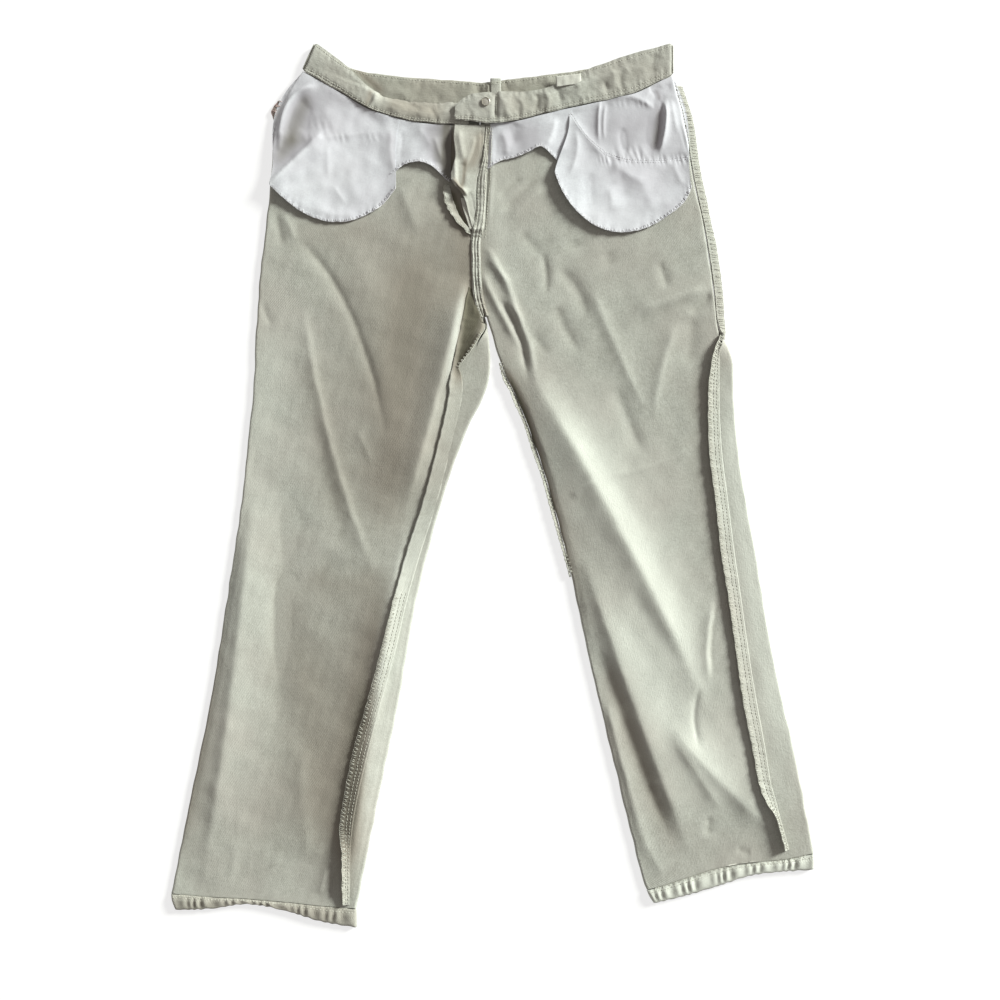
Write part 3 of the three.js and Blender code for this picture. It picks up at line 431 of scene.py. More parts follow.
legLeft = {
    "sections": [
        [-214, 464, -14.4, 403, -14.4, 403, 90, 0, 0, 1, 0],
        [-231, 435, -15.3, 377, -15.3, 377, 90, 0, 0, 0.7, 0],
        [-245, 394, -16.6, 349, -16.6, 349, 90, 0, 0, 0.3, 0],
        [-250, 338, -18.1, 307, -18.1, 307, 90, 0, 0, 0, 0],
        [-256, 281, -18.6, 267, -18.6, 267, 90, 0, 0, 0, 0],
        [-262, 231, -17.4, 224, -17.4, 224, 90, 0, 0, 0, 0],
        [-264, 195, -12.6, 198, -12.6, 198, 90, 0, 20, 0, 0],
        [-266, 177, -11, 180, -6, 179, 90, 0, 120, 0, 0],
        [-267, 158, -18, 160, -4, 156, 90, 0, 180, 0, 0],
        [-268, 128, -30, 129, -3, 128, 90, 0, 180, 0, 0],
        [-270, 96, -36, 94, -12, 96, 90, 0, 180, 0, 0],
        [-274, 60, -43, 60, -30, 60, 90, 0, 180, 0, 0],
        [-282, -17, -63, -17, -57, -17, 90, 0, 180, 0, 0],
        [-299, -129, -97, -129, -86, -129, 90, 0, 180, 0, 0],
        [-317, -242, -125, -242, -106, -242, 90, 0, 180, 0, 0],
        [-340, -354, -154, -356, -130, -358, 90, 0, 180, 0, 0],
        [-361, -458, -163, -474, -153, -475, 90, 0, 180, 0, 1],
    ],
    "waistFront": [0, -10, -20, -19, -11, 0],
    "waistBack": [0, -13, -10, -2, 6, 17],
    "hem": [0, 0, 1, 1, 0, 0],
    "folds": [
        [-266, 20, -292, -232, -328, -460, 26, 11, 5, 5.0],
        [-228, 34, -236, -129, -243, -343, 26, 26, 6, -3.0],
        [-243, -90, -241, -152, -239, -215, 9, 9, 1, -1.8],
        [-34, 240, -60, 112, -104, -40, 7, 44, 3, 7.5],
        [-96, -20, -136, -270, -166, -470, 10, 30, 4, 7.0],
        [-228, 285, -159, 190, -118, 42, 3.5, 4.5, 1.2, -1.7],
        [-216, 225, -182, 45, -128, -108, 4, 9, 1.5, 1.9],
        [-154, 64, -143, 42, -136, 19, 3, 3, 1.5, 0.6],
        [-204, 101, -186, 8, -163, -75, 8, 13, 6, -1.3],
        [-240, -120, -208, -110, -166, -75, 9, 9, 3, -1.4],
        [-159, 270, -132, 174, -112, 28, 14, 22, 12, 1.6],
        [-217, -281, -213, -354, -204, -435, 8, 9, 6, 1.2],
        [-186, -426, -190, -444, -195, -461, 2.5, 2.5, 1, 1.0],
        [-176, -431, -180, -449, -184, -466, 2.5, 2.5, 1, -1.0],
        [-260, 206, -254, 191, -249, 177, 3, 3, 1.5, -1.0],
        [-242, 307, -240, 287, -235, 267, 3, 4, 1.5, -1.3],
        [-235, 307, -228, 289, -220, 271, 3, 3, 2, 1.0],
        [-105, 339, -96, 315, -82, 276, 10, 5, 4, 1.4],
        [-289, -394, -291, -416, -292, -442, 5, 5, 3, 0.6],
        [-71, 174, -84, 96, -105, 17, 10, 14, 8, -1.0],
        [-28, 236, -40, 170, -51, 96, 2.5, 12, 1, 2.4],
        [-24, 238, -35, 170, -46, 104, 2.5, 2.5, 1, -1.2],
        [-273, -39, -260, -129, -268, -242, 12, 12, 8, 0.7],
    ],
}
legRight = {
    "sections": [
        [-14, 404, 201, 459, 201, 459, 0, 90, 90, 1, 0],
        [-15, 371, 214, 408, 214, 408, 0, 90, 90, 0.6, 0],
        [-17, 332, 226, 340, 226, 340, 0, 90, 90, 0.2, 0],
        [-18, 292, 236, 295, 236, 295, 0, 90, 90, 0, 0],
        [-18, 264, 242, 259, 242, 259, 0, 90, 90, 0, 0],
        [-16, 219, 248, 217, 248, 217, 10, 90, 90, 0, 0],
        [-7, 188, 251, 186, 251, 186, 60, 90, 90, 0, 0],
        [-1, 170, 254, 168, 258, 166, 90, 45, 135, 0, 0],
        [4, 150, 253, 145, 268, 144, 90, 0, 180, 0, 0],
        [14, 123, 254, 118, 270, 118, 90, 0, 180, 0, 0],
        [29, 93, 254, 91, 271, 91, 90, 0, 180, 0, 0],
        [56, 19, 260, 15, 279, 15, 90, 0, 180, 0, 0],
        [82, -76, 271, -76, 295, -75, 90, 0, 180, 0, 0],
        [107, -191, 287, -190, 314, -188, 90, 0, 180, 0, 0],
        [135, -309, 306, -300, 338, -298, 90, 0, 180, 0, 0],
        [165, -431, 331, -408, 358, -402, 90, 0, 180, 0, 0.3],
        [173, -454, 334, -418, 360, -413, 90, 0, 180, 0, 1],
    ],
    "waistFront": [0, -6, -6, -8, -9, 0],
    "waistBack": [16, 7, 2, -2, -2, 0],
    "hem": [0, 3, 7, 6, 1, 0],
    "folds": [
        [16, 165, 142, -52, 244, -262, 17, 24, 5, 7.6],
        [96, -64, 158, -245, 228, -428, 26, 9, 4, 5.2],
        [112, -160, 158, -290, 205, -410, 6, 9, 3, -2.4],
        [201, -278, 227, -321, 262, -372, 14, 8, 3, 2.2],
        [123, -231, 145, -312, 179, -431, 8, 6, 3, 2.0],
        [197, -264, 251, -328, 323, -393, 26, 10, 4, 4.0],
        [148, -101, 182, -158, 224, -213, 12, 12, 8, -1.6],
        [249, -120, 240, -174, 243, -224, 4, 6, 1.5, 2.0],
        [254, -125, 245, -174, 248, -224, 3, 3, 1, -1.0],
        [234, -224, 226, -259, 233, -300, 3, 3, 1.2, -1.5],
        [53, 264, 60, 240, 58, 208, 3, 3, 1.2, -1.5],
        [28, 286, 43, 271, 54, 258, 5, 5, 3, -1.0],
        [68, 242, 93, 222, 107, 183, 5, 8, 3, -2.0],
        [68, 205, 81, 177, 99, 144, 5, 7, 3, -1.6],
        [43, 171, 53, 158, 64, 144, 4, 5, 2, -0.9],
        [109, 224, 134, 163, 178, 69, 6, 6, 3, 1.7],
        [209, 186, 190, 135, 179, 65, 5, 5, 3, 1.6],
        [136, 115, 152, 73, 168, 30, 6, 10, 4, -1.8],
        [152, 190, 201, 208, 252, 223, 9, 5, 3, 2.2],
        [219, 190, 235, 205, 251, 218, 3, 5, 1.5, -1.8],
        [224, 197, 223, 163, 219, 129, 7, 7, 5, -1.6],
        [187, 253, 191, 236, 197, 219, 3, 3, 1.5, -1.1],
        [120, 10, 177, 21, 233, 48, 3, 3, 1.5, 0.6],
        [87, -15, 100, -4, 118, 6, 3, 3, 1.5, 0.9],
        [7, 306, 30, 325, 55, 348, 3, 3, 1.5, -1.2],
        [15, 296, 38, 317, 58, 340, 4, 4, 2, 0.9],
        [4, 321, 20, 334, 35, 346, 3, 3, 1.5, -0.8],
        [-12, 271, 14, 227, 37, 160, 3, 3, 1.2, 2.2],
        [-15, 244, 4, 202, 34, 146, 3.5, 3, 1.2, 2.4],
        [3, 212, 29, 171, 39, 110, 2, 3, 1, -2.6],
        [9, 214, 36, 170, 48, 108, 4, 3, 1.5, 1.9],
        [-8, 258, 4, 242, 22, 220, 2.5, 2.5, 1.2, 1.3],
        [-9, 404, -10.5, 345, -15, 276, 2, 2, 1, 1.6],
        [-4, 404, -5.5, 345, -10, 276, 1.6, 1.6, 0.8, -1.5],
        [-1, 404, -2.5, 345, -7, 276, 2, 2, 1, 1.2],
        [-6, 402, -7, 385, -9, 366, 4, 3, 1.5, -1.8],
        [240, -371, 242, -381, 238, -395, 4, 4, 2, -1.2],
        [273, -406, 281, -411, 290, -414, 4, 3, 2, -1.0],
        [182, -326, 183, -343, 188, -361, 5, 5, 3, 0.8],
        [165, -394, 179, -416, 191, -442, 6, 6, 3, 1.0],
        [90, 276, 91, 270, 94, 263, 5, 5, 4, -0.7],
        [127, 264, 130, 254, 135, 244, 6, 6, 4, -0.7],
    ],
}
# Painted light (above zero) and painted shade (below it) on the cloth, with the columns of the folds
paintedLightAndShadeLines = [
    [-223, 264, -268, -17, -305, -422, 22, 22, 14, 0.5],
    [-82, 330, -102, 118, -130, -110, 30, 34, 22, -1.0],
    [-112, -74, -151, -264, -176, -487, 6, 24, 10, -1.0],
    [-217, -91, -167, -112, -105, -94, 18, 18, 10, -0.5],
    [-195, -112, -196, -287, -195, -440, 26, 26, 14, -0.3],
    [-215, 160, -185, 60, -170, -90, 14, 20, 10, -0.35],
    [-30, 232, -41, 170, -52, 100, 1.5, 3, 2, 0.8],
    [-134, -200, -148, -320, -166, -490, 8, 8, 5, -0.8],
    [-250, -40, -210, -240, -205, -440, 24, 12, 12, -0.25],
    [-60, 17, -112, -186, -147, -422, 10, 8, 6, 0.6],
    [-298, -100, -326, -284, -362, -440, 9, 9, 5, -0.8],
    [-234, 304, -183, 281, -105, 304, 14, 14, 8, -0.3],
    [-35, 377, -28, 264, -18, 164, 8, 26, 10, -0.9],
    [-48, 404, -47, 370, -48, 335, 5, 5, 3, -1.4],
    [-46, 338, -41, 308, -26, 282, 3, 3, 2, -1.9],
    [9, 138, 43, 56, 88, -106, 2.2, 1.4, 0.8, -2.0],
    [30, 152, 158, -62, 246, -262, 14, 14, 9, 0.8],
    [118, -110, 196, -250, 285, -372, 14, 14, 9, 0.9],
    [6, 170, 59, -6, 111, -174, 10, 10, 6, -0.9],
    [120, -163, 162, -298, 213, -422, 9, 9, 5, -0.8],
    [242, 163, 246, -17, 306, -354, 6, 14, 6, -0.5],
    [264, 141, 295, -84, 340, -332, 14, 10, 8, 1.0],
    [-230, 300, -150, 180, -120, 60, 40, 40, 20, -0.2],
    [-1, 377, 8, 287, 30, 174, 10, 8, 5, 0.35],
    [90, 150, 180, -120, 290, -430, 50, 50, 26, 0.4],
    [262, 150, 290, -90, 340, -400, 12, 8, 6, 0.5],
    [-270, -20, -250, -120, -250, -260, 20, 30, 16, -0.2],
    [-210, -150, -235, -300, -240, -460, 26, 30, 14, -0.25],
]
panelDetail = {"frontStep": 2.5, "backStep": 5.0, "returnStep": 2.2, "arcSteps": 5, "fade": 9,
               "unevenness": 0.3, "relief": 1.15, "deepest": -2.2, "sway": 0.5}


# Each column of a table of sections, at places t down it
def columnsAt(table, t):
    return {name: along([row[i] for row in table], t) for i, name in enumerate(sectionColumns)}


# One panel of a leg: the front from the near edge to the seam, the back from the near edge round the far one
def panelGrid(table, isFront, layer, step, bends, hemBend, folds, seed):
    fine = np.linspace(0, len(table) - 1, 400)
    ends = columnsAt(table, fine)
    middle = np.stack([(ends["near" + axis] + ends["far" + axis]) / 2 for axis in "XY"], 1)
    run = np.concatenate([[0], np.cumsum(np.linalg.norm(np.diff(middle, axis=0), axis=1))])
    rows = max(int(run[-1] / step), 6)
    t = np.interp(np.linspace(0, run[-1], rows), run, fine)
    s = {name: column[:, None] for name, column in columnsAt(table, t).items()}
    radius = layer / 2
    width = np.hypot(s["farX"] - s["nearX"], s["farY"] - s["nearY"])
    seam = np.hypot(s["seamX"] - s["nearX"], s["seamY"] - s["nearY"])
    nearTurn = np.radians(s["nearRoll"])
    farTurn = np.radians(s["frontRoll" if isFront else "backRoll"])
    flat = (seam if isFront else width) - radius * np.sin(nearTurn)
    flat = flat - radius * np.sin(np.minimum(farTurn, np.pi / 2))
    turnback = 0 * width if isFront else np.maximum(width - seam - radius, 0) * smooth((farTurn - 2) / 1.1)
    start = lay["seamGap"] / 2
    end = radius * (nearTurn + farTurn) + flat + turnback - start
    steps = panelDetail["arcSteps"]
    arc = radius * np.pi / 2
    farArc = arc * (1 if isFront else 2)
    farSteps = steps * (1 if isFront else 2)
    returned = 0 * width if isFront else np.maximum(turnback, 3)
    flatColumns = int(width.max() / step)
    backColumns = 0 if isFront else max(int(turnback.max() / panelDetail["returnStep"]), 3)
    nearEnd, farStart = start + arc, end - returned - farArc
    parts = [start + arc * np.arange(steps) / steps + 0 * width,
             nearEnd + (farStart - nearEnd) * np.arange(flatColumns) / flatColumns,
             farStart + farArc * np.arange(farSteps) / farSteps,
             end - returned + returned * np.arange(backColumns + 1) / max(backColumns, 1)]
    length = np.concatenate(parts, 1)
    nearArc = radius * nearTurn
    inNear = length < nearArc
    turnNear = nearTurn - length / radius
    past = length - nearArc - flat
    turnFar = np.clip(past / radius, 0, farTurn)
    beyond = np.maximum(past - radius * farTurn, 0)
    centre = radius * np.sin(nearTurn)
    turn = np.where(inNear, turnNear, turnFar)
    u = np.where(inNear, centre - radius * np.sin(turnNear),
                 np.where(past < 0, centre + length - nearArc,
                          centre + flat + radius * np.sin(turnFar) + beyond * np.cos(farTurn)))
    level = radius * (1 - np.cos(turn))
    z = (layer - level if isFront else level) + beyond * np.sin(farTurn)
    share = np.clip(u / width, 0, 1)
    x = mix(s["nearX"], s["farX"], u / width)
    y = mix(s["nearY"], s["farY"], u / width)
    y = y + s["waist"] * along(bends, share * (len(bends) - 1))
    y = y + s["hem"] * along(hemBend, share * (len(hemBend) - 1))
    fade = panelDetail["fade"]
    nearFade = 1 - s["nearRoll"] / 90 * (1 - smooth(u / fade))
    rolled = np.minimum(1, np.maximum(s["frontRoll"], s["backRoll"]) / 90)
    farFade = 1 - rolled * (1 - smooth((width - u) / fade))
    onTop = 1.0 if isFront else smooth((turn - np.pi / 2) / (np.pi / 2)) * (farTurn > 3)
    uneven = ripple(x, y, 46, seed) + 0.5 * ripple(x, y, 17, seed + 5)
    rise = foldHeight(folds, x, y, panelDetail["relief"]) + panelDetail["unevenness"] * uneven
    rise = np.maximum(rise, panelDetail["deepest"])
    x = x + panelDetail["sway"] * ripple(x, y, 30, 12)
    return np.stack([x, y, z + rise * nearFade * farFade * onTop], 2)


panels = {}
for side, leg, seed in (("left", legLeft, 3), ("right", legRight, 8)):
    for part, isFront in (("front", True), ("back", False)):
        leg[part] = panelGrid(leg["sections"], isFront, lay["flat"], panelDetail[part + "Step"],
                              leg["waistFront" if isFront else "waistBack"], leg["hem"], leg["folds"], seed)
        name = f"{part}_{side}"
        panels[name] = shell(name + "_cloth", leg[part], wall["cloth"], materials["twill"], isFront,
                             paintedLightAndShadeLines, softRim=False)
print("leg panels made")

legSurface = surfaceOf([legLeft["front"], legRight["front"], legLeft["back"], legRight["back"]])

# ---- waistband


def pointsAlong(line, shares):
    steps = np.linalg.norm(np.diff(line, axis=0), axis=1)
    run = np.concatenate([[0], np.cumsum(steps)])
    places = np.asarray(shares) * run[-1]
    return np.stack([np.interp(places, run, line[:, axis]) for axis in (0, 1)], -1), run[-1]


bandLeft = {
    "top": [[-199, 496], [-166, 471], [-134, 443], [-97, 433], [-58, 430], [-20, 428]],
    "to": 0.94,
    # the part to the right of this x sinks towards the band behind it
    "sink": 4.3, "sinkFrom": -134,
    "folds": [
        [-131, 447, -136, 434, -143, 418, 3, 3, 1, -1.6],
        [-128, 443, -134, 430, -144, 416, 2, 26, 1.5, 1.5],
        [-132, 443, -118, 439, -100, 439, 2, 2, 0.8, -1.4],
        [-126, 432, -112, 428, -96, 421, 3, 3, 1.5, 0.8],
        [-118, 425, -108, 418, -104, 408, 3, 4, 1.5, 0.5],
        [-98, 428, -88, 424, -78, 416, 2, 3, 1.5, -0.6],
        [-84, 420, -80, 412, -82, 404, 3, 4, 1.5, 0.5],
        [-72, 424, -66, 416, -62, 404, 2, 3, 1.5, -0.7],
        [-58, 418, -48, 416, -38, 408, 3, 3, 1.5, 0.6],
    ],
}
bandRight = {
    "top": [[-12, 439], [29, 440], [70, 448], [110, 467], [153, 482], [201, 495]],
    "from": 0.2,
    # the lapped end: lower edge, upper edge, height
    "tab": [[-43, 408, -42, 424, 10.9], [-36, 408, -34, 432, 10.9], [-24, 407, -24, 437, 10.9],
            [-8, 404, -8, 439, 10.9], [8, 405, 8, 440, 10.9]],
    "folds": [
        [4, 440, 3, 425, 3, 404, 2, 2, 0.8, -1.8],
        [8, 433, 15, 422, 14, 408, 7, 4, 3, 1.4],
        [26, 436, 33, 426, 34, 409, 3, 3, 1.5, 0.9],
        [46, 440, 50, 430, 46, 416, 2.5, 3, 1.2, -1.1],
        [56, 441, 62, 430, 60, 415, 3, 3, 1.5, 1.0],
        [70, 446, 74, 438, 76, 425, 2.5, 3, 1.2, -0.8],
        [92, 452, 96, 442, 92, 428, 4, 4, 2, 0.7],
        [124, 452, 127, 446, 126, 438, 2.5, 2.5, 1.2, -0.8],
        [132, 466, 136, 455, 134, 442, 3, 3, 1.5, 0.7],
        [145, 467, 143, 457, 144, 442, 3, 3, 1.5, -0.7],
        [182, 487, 179, 471, 179, 456, 4, 4, 2, -0.9],
        [75, 439, 120, 456, 177, 471, 3, 3, 2, 0.7],
    ],
}
bandBack = {
    "topLeft": [[-199, 496], [-161, 469], [-122, 461], [-85, 457], [-49, 455], [-12, 452]],
    "topRight": [[-12, 452], [30, 457], [72, 462], [115, 469], [158, 482], [201, 495]],
    "to": 0.995, "from": 0.03, "low": 1.2, "lowBySides": 2.8, "bySides": 60,
    "folds": [
        [-17, 452, -16, 445, -17, 436, 2.5, 2.5, 1, -1.8],
        [-5, 452, -5, 444, -6, 434, 2, 2, 0.8, 1.2],
        [-80, 452, -100, 440, -130, 447, 6, 6, 4, 0.8],
        [14, 455, 16, 447, 15, 438, 3, 3, 1.5, -0.8],
        [60, 460, 62, 452, 60, 446, 4, 4, 2, 0.8],
    ],
}
bandDetail = {"step": 1.6, "across": 22, "puff": 0.5, "edgeDrop": 0.55, "edgeWidth": 0.03,
              "stitchLines": (0.12, 0.93), "stitchDip": 0.45, "stitchWidth": 0.035, "pucker": 0.3,
              "puckerWidth": 0.16, "pitch": 7.5, "corner": 0.14, "round": 7, "relief": 1.5, "endSteps": 7,
              "steps": 60}


def rolledHeight(fromEnd, layer):
    radius = layer / 2
    inside = np.clip(radius - fromEnd, 0, radius)
    return radius + np.sqrt(radius**2 - inside**2)


# Low and top lines with a height for each point, as a grid from the lower edge to the upper one
def bandGrid(low, top, height, fromEnd, folds, seed):
    detail = bandDetail
    low, top, height = np.asarray(low, float), np.asarray(top, float), np.asarray(height, float)
    run = np.concatenate([[0], np.cumsum(np.linalg.norm(np.diff(low + top, axis=0), axis=1) / 2 + 1e-4)])
    places = np.linspace(0, run[-1], max(int(run[-1] / detail["step"]), 4))
    pick = lambda values: np.interp(places, run, values)
    v = np.linspace(0, 1, detail["across"])[None, :]
    atEnd = np.clip(1 - pick(np.asarray(fromEnd, float)) / detail["round"], 0, 1)[:, None]
    v = 0.5 + (v - 0.5) * (1 - detail["corner"] * atEnd**2)
    x = mix(pick(low[:, 0])[:, None], pick(top[:, 0])[:, None], v)
    y = mix(pick(low[:, 1])[:, None], pick(top[:, 1])[:, None], v)
    z = pick(height)[:, None] + 0 * x
    s = places[:, None] + 0 * x
    atEdges = np.exp(-v / detail["edgeWidth"]) + np.exp(-(1 - v) / detail["edgeWidth"])
    z = z + detail["puff"] * np.sin(np.pi * v) ** 0.6 - detail["edgeDrop"] * atEdges
    for place in detail["stitchLines"]:
        z = z - detail["stitchDip"] * np.exp(-(((v - place) / detail["stitchWidth"]) ** 2))
        wave = detail["pucker"] * pucker(s, detail["pitch"], seed)
        z = z + wave * np.exp(-(((v - place) / detail["puckerWidth"]) ** 2))
    z = z + foldHeight(folds, x, y, detail["relief"])
    z = z + 0.4 * ripple(x, y, 23, seed) + 0.16 * ripple(x, y, 9, seed + 1)
    y = y + 0.5 * ripple(x, y, 26, seed + 2) * np.abs(v - 0.5) * 2
    return np.stack([x, y, z], 2)


def topLine(points, shares):
    place = np.asarray(shares) * (len(points) - 1)
    return np.stack([along([p[axis] for p in points], place) for axis in (0, 1)], -1)


def waistLine(leg, isFront=True):
    row = leg["front" if isFront else "back"][0, :, :2]
    step = np.linalg.norm(np.diff(row, axis=0), axis=1)
    return row[np.concatenate([[True], step > 0.05])] + [0, lay["seamGap"]]


def endShares(whole, start, end):
    bend = 1 - np.cos(np.linspace(0, np.pi / 2, bandDetail["endSteps"]))
    radius = lay["waist"] / 2 / whole
    shares = [bend * radius if start == 0 else [start],
              np.linspace(start + radius * 1.2, end - radius * 1.2, bandDetail["steps"]),
              (1 - bend * radius)[::-1] if end == 1 else [end]]
    return np.concatenate(shares)


def makeBands():
    line = waistLine(legLeft)
    whole = pointsAlong(line, [0])[1]
    shares = endShares(whole, 0, bandLeft["to"])
    low, _ = pointsAlong(line, shares)
    height = rolledHeight(shares * whole, lay["waist"])
    left = bandGrid(low, topLine(bandLeft["top"], shares), height, shares * whole, bandLeft["folds"], 21)
    v = np.linspace(0, 1, left.shape[1])[None, :]
    inSink = smooth((left[..., 0] - bandLeft["sinkFrom"]) / 10)
    left[..., 2] -= bandLeft["sink"] * smooth((v - 0.3) / 0.7) * inSink

    line = waistLine(legRight)
    whole = pointsAlong(line, [0])[1]
    shares = endShares(whole, bandRight["from"], 1)
    low, _ = pointsAlong(line, shares)
    tab = np.array(bandRight["tab"], float)
    low = np.concatenate([tab[:, 0:2], low])
    top = np.concatenate([tab[:, 2:4], topLine(bandRight["top"], shares)])
    height = np.concatenate([tab[:, 4], rolledHeight((1 - shares) * whole, lay["waist"])])
    fromEnd = np.concatenate([[1, 6, 20, 40, 60], (1 - shares) * whole])
    right = bandGrid(low, top, height, fromEnd, bandRight["folds"], 22)

    grids = []
    for leg, top, start in ((legLeft, bandBack["topLeft"], True), (legRight, bandBack["topRight"], False)):
        line = waistLine(leg, False)
        whole = pointsAlong(line, [0])[1]
        shares = endShares(whole, 0, bandBack["to"]) if start else endShares(whole, bandBack["from"], 1)
        low, _ = pointsAlong(line, shares)
        fromEnd = shares * whole if start else (1 - shares) * whole
        height = lay["waist"] - rolledHeight(fromEnd, lay["waist"]) + wall["band"]
        height = np.where(fromEnd < bandBack["bySides"], np.maximum(height, bandBack["lowBySides"]), height)
        grids.append((low, topLine(top, shares), height, fromEnd))
    low, top, height, fromEnd = (np.concatenate([a, b]) for a, b in zip(*grids))
    back = bandGrid(low, top, height, fromEnd, bandBack["folds"], 23)
    back[..., 2] = np.maximum(back[..., 2], bandBack["low"])
    return left, right, back


# Painted shade on the front bands, with the columns of the folds
bandPaintedShade = [
    [-130, 436, -90, 422, -40, 418, 14, 14, 8, -0.85],
    [-128, 441, -118, 439, -100, 440, 1.5, 1.5, 1, -1.0],
    [-136, 446, -139, 432, -146, 418, 1.5, 3, 1.5, -0.9],
    [-190, 480, -160, 452, -145, 440, 12, 12, 8, -0.15],
    [6, 430, 40, 425, 76, 430, 14, 14, 8, -0.4],
    [110, 452, 150, 462, 195, 478, 12, 12, 8, -0.2],
]
# Painted shade on the back band, where the front band shades it
bandBackPaintedShade = [
    [-150, 460, -20, 445, 100, 462, 20, 20, 12, -0.35],
    [-160, 474, -140, 455, -118, 437, 4, 3, 1.5, -1.3],
]
bands = dict(zip(("left", "right", "back"), makeBands()))
for side, grid in bands.items():
    thickness, cloth, paintedLightAndShade = wall["band"], "twill", bandPaintedShade
    if side == "back":
        # The back band takes the darker copy of the twill as painted shade
        thickness, cloth, paintedLightAndShade = wall["cloth"], "twillPaintedShade", bandBackPaintedShade
    panels["waistband_" + side] = shell(f"waistband_{side}_cloth", grid, thickness, materials[cloth],
                                        paintedLightAndShade=paintedLightAndShade, softRim=side == "back")
print("waistband made")

# ---- pocketing, fly and allowances laid on the front


laidDeepest = -0.9  # a crease goes no deeper, so that what is laid stays over the leg


# A grid between two lines of [x, y, lift], laid on a surface. The lift grows towards the second line by
# power, and bow moves the sides near the last and first rows.
def laidGrid(base, first, second, rows, columns, folds, bow, above, power, seed, unevenness, relief=1.5):
    a = np.linspace(0, 1, rows)[:, None]
    b = np.linspace(0, 1, columns)[None, :]
    at = lambda line, axis: along([p[axis] for p in line], a * (len(line) - 1))
    x = mix(at(first, 0), at(second, 0), b)
    y = mix(at(first, 1), at(second, 1), b)
    x = x + np.sin(np.pi * b) * (1 - b) * (bow[0] * (1 - a) ** 3 + bow[1] * a**3)
    lift = mix(at(first, 2), at(second, 2), b**power)
    under = base(x, y)
    uneven = ripple(x, y, 27, seed) + 0.25 * ripple(x, y, 12, seed + 3)
    rise = foldHeight(folds, x, y, relief) + unevenness * uneven
    return np.stack([x, y, under + above + lift + np.maximum(rise, laidDeepest)], 2)


# Gathers lie along a level. Columns: fromX, toX, level, half its height, pitch, rise
bagLeft = {
    "leg": legLeft, "from": 0.005, "to": 0.575, "bow": (-31, -5),
    "gathers": [[-235, -110, 389, 5, 9, 0.16], [-215, -165, 402, 8, 11, 0.16]],
    # Painted shade over the upper left of the bag, and painted highlights on its crests
    "paintedLightAndShade": [[-198, 456, -224, 400, -250, 334, 13, 12, 8, -1.6],
              [-205, 455, -160, 428, -112, 412, 8, 10, 6, -0.5],
              [-236, 390, -212, 384, -192, 392, 8, 8, 5, -0.6],
              [-150, 404, -128, 392, -112, 396, 8, 8, 5, -0.3],
              [-114, 405, -114, 375, -110, 345, 6, 5, 3, -0.7],
              [-240, 330, -190, 345, -140, 330, 22, 16, 14, 0.25],
              [-240, 388, -238, 420, -208, 443, 2.5, 2.5, 1.5, 1.0],
              [-246, 338, -222, 362, -197, 384, 3, 3, 2, 0.7]],
    "bottom": [[-250, 336, 5], [-234, 321, 4], [-214, 306, 2], [-189, 296, 1.2], [-166, 295, 1.0],
               [-144, 302, 1.0], [-124, 314, 1.4], [-109, 332, 3]],
    "folds": [
        [-192, 446, -228, 430, -240, 376, 4, 2, 1.2, 3.4],
        [-206, 432, -222, 416, -228, 386, 6, 6, 3, -1.6],
        [-186, 400, -222, 364, -258, 328, 20, 4, 1.2, 4.6],
        [-205, 428, -208, 410, -215, 392, 4, 5, 3, -0.9],
        [-190, 425, -186, 405, -190, 388, 5, 5, 3, 0.7],
        [-160, 428, -140, 415, -118, 396, 5, 6, 3, -0.8],
        [-236, 398, -238, 386, -240, 372, 2, 2, 1, 0.9],
        [-181, 338, -172, 325, -163, 312, 3, 4, 1.5, 0.6],
        [-184, 385, -185, 362, -184, 340, 3, 3, 1.5, 0.5],
        [-114, 402, -115, 375, -110, 345, 3, 8, 2.5, 1.4],
        [-166, 377, -159, 343, -147, 307, 10, 10, 6, 0.7],
        [-214, 386, -170, 391, -112, 397, 2, 3, 1.5, 0.45],
        [-226, 322, -190, 306, -150, 302, 5, 5, 3, 0.7],
    ],
}
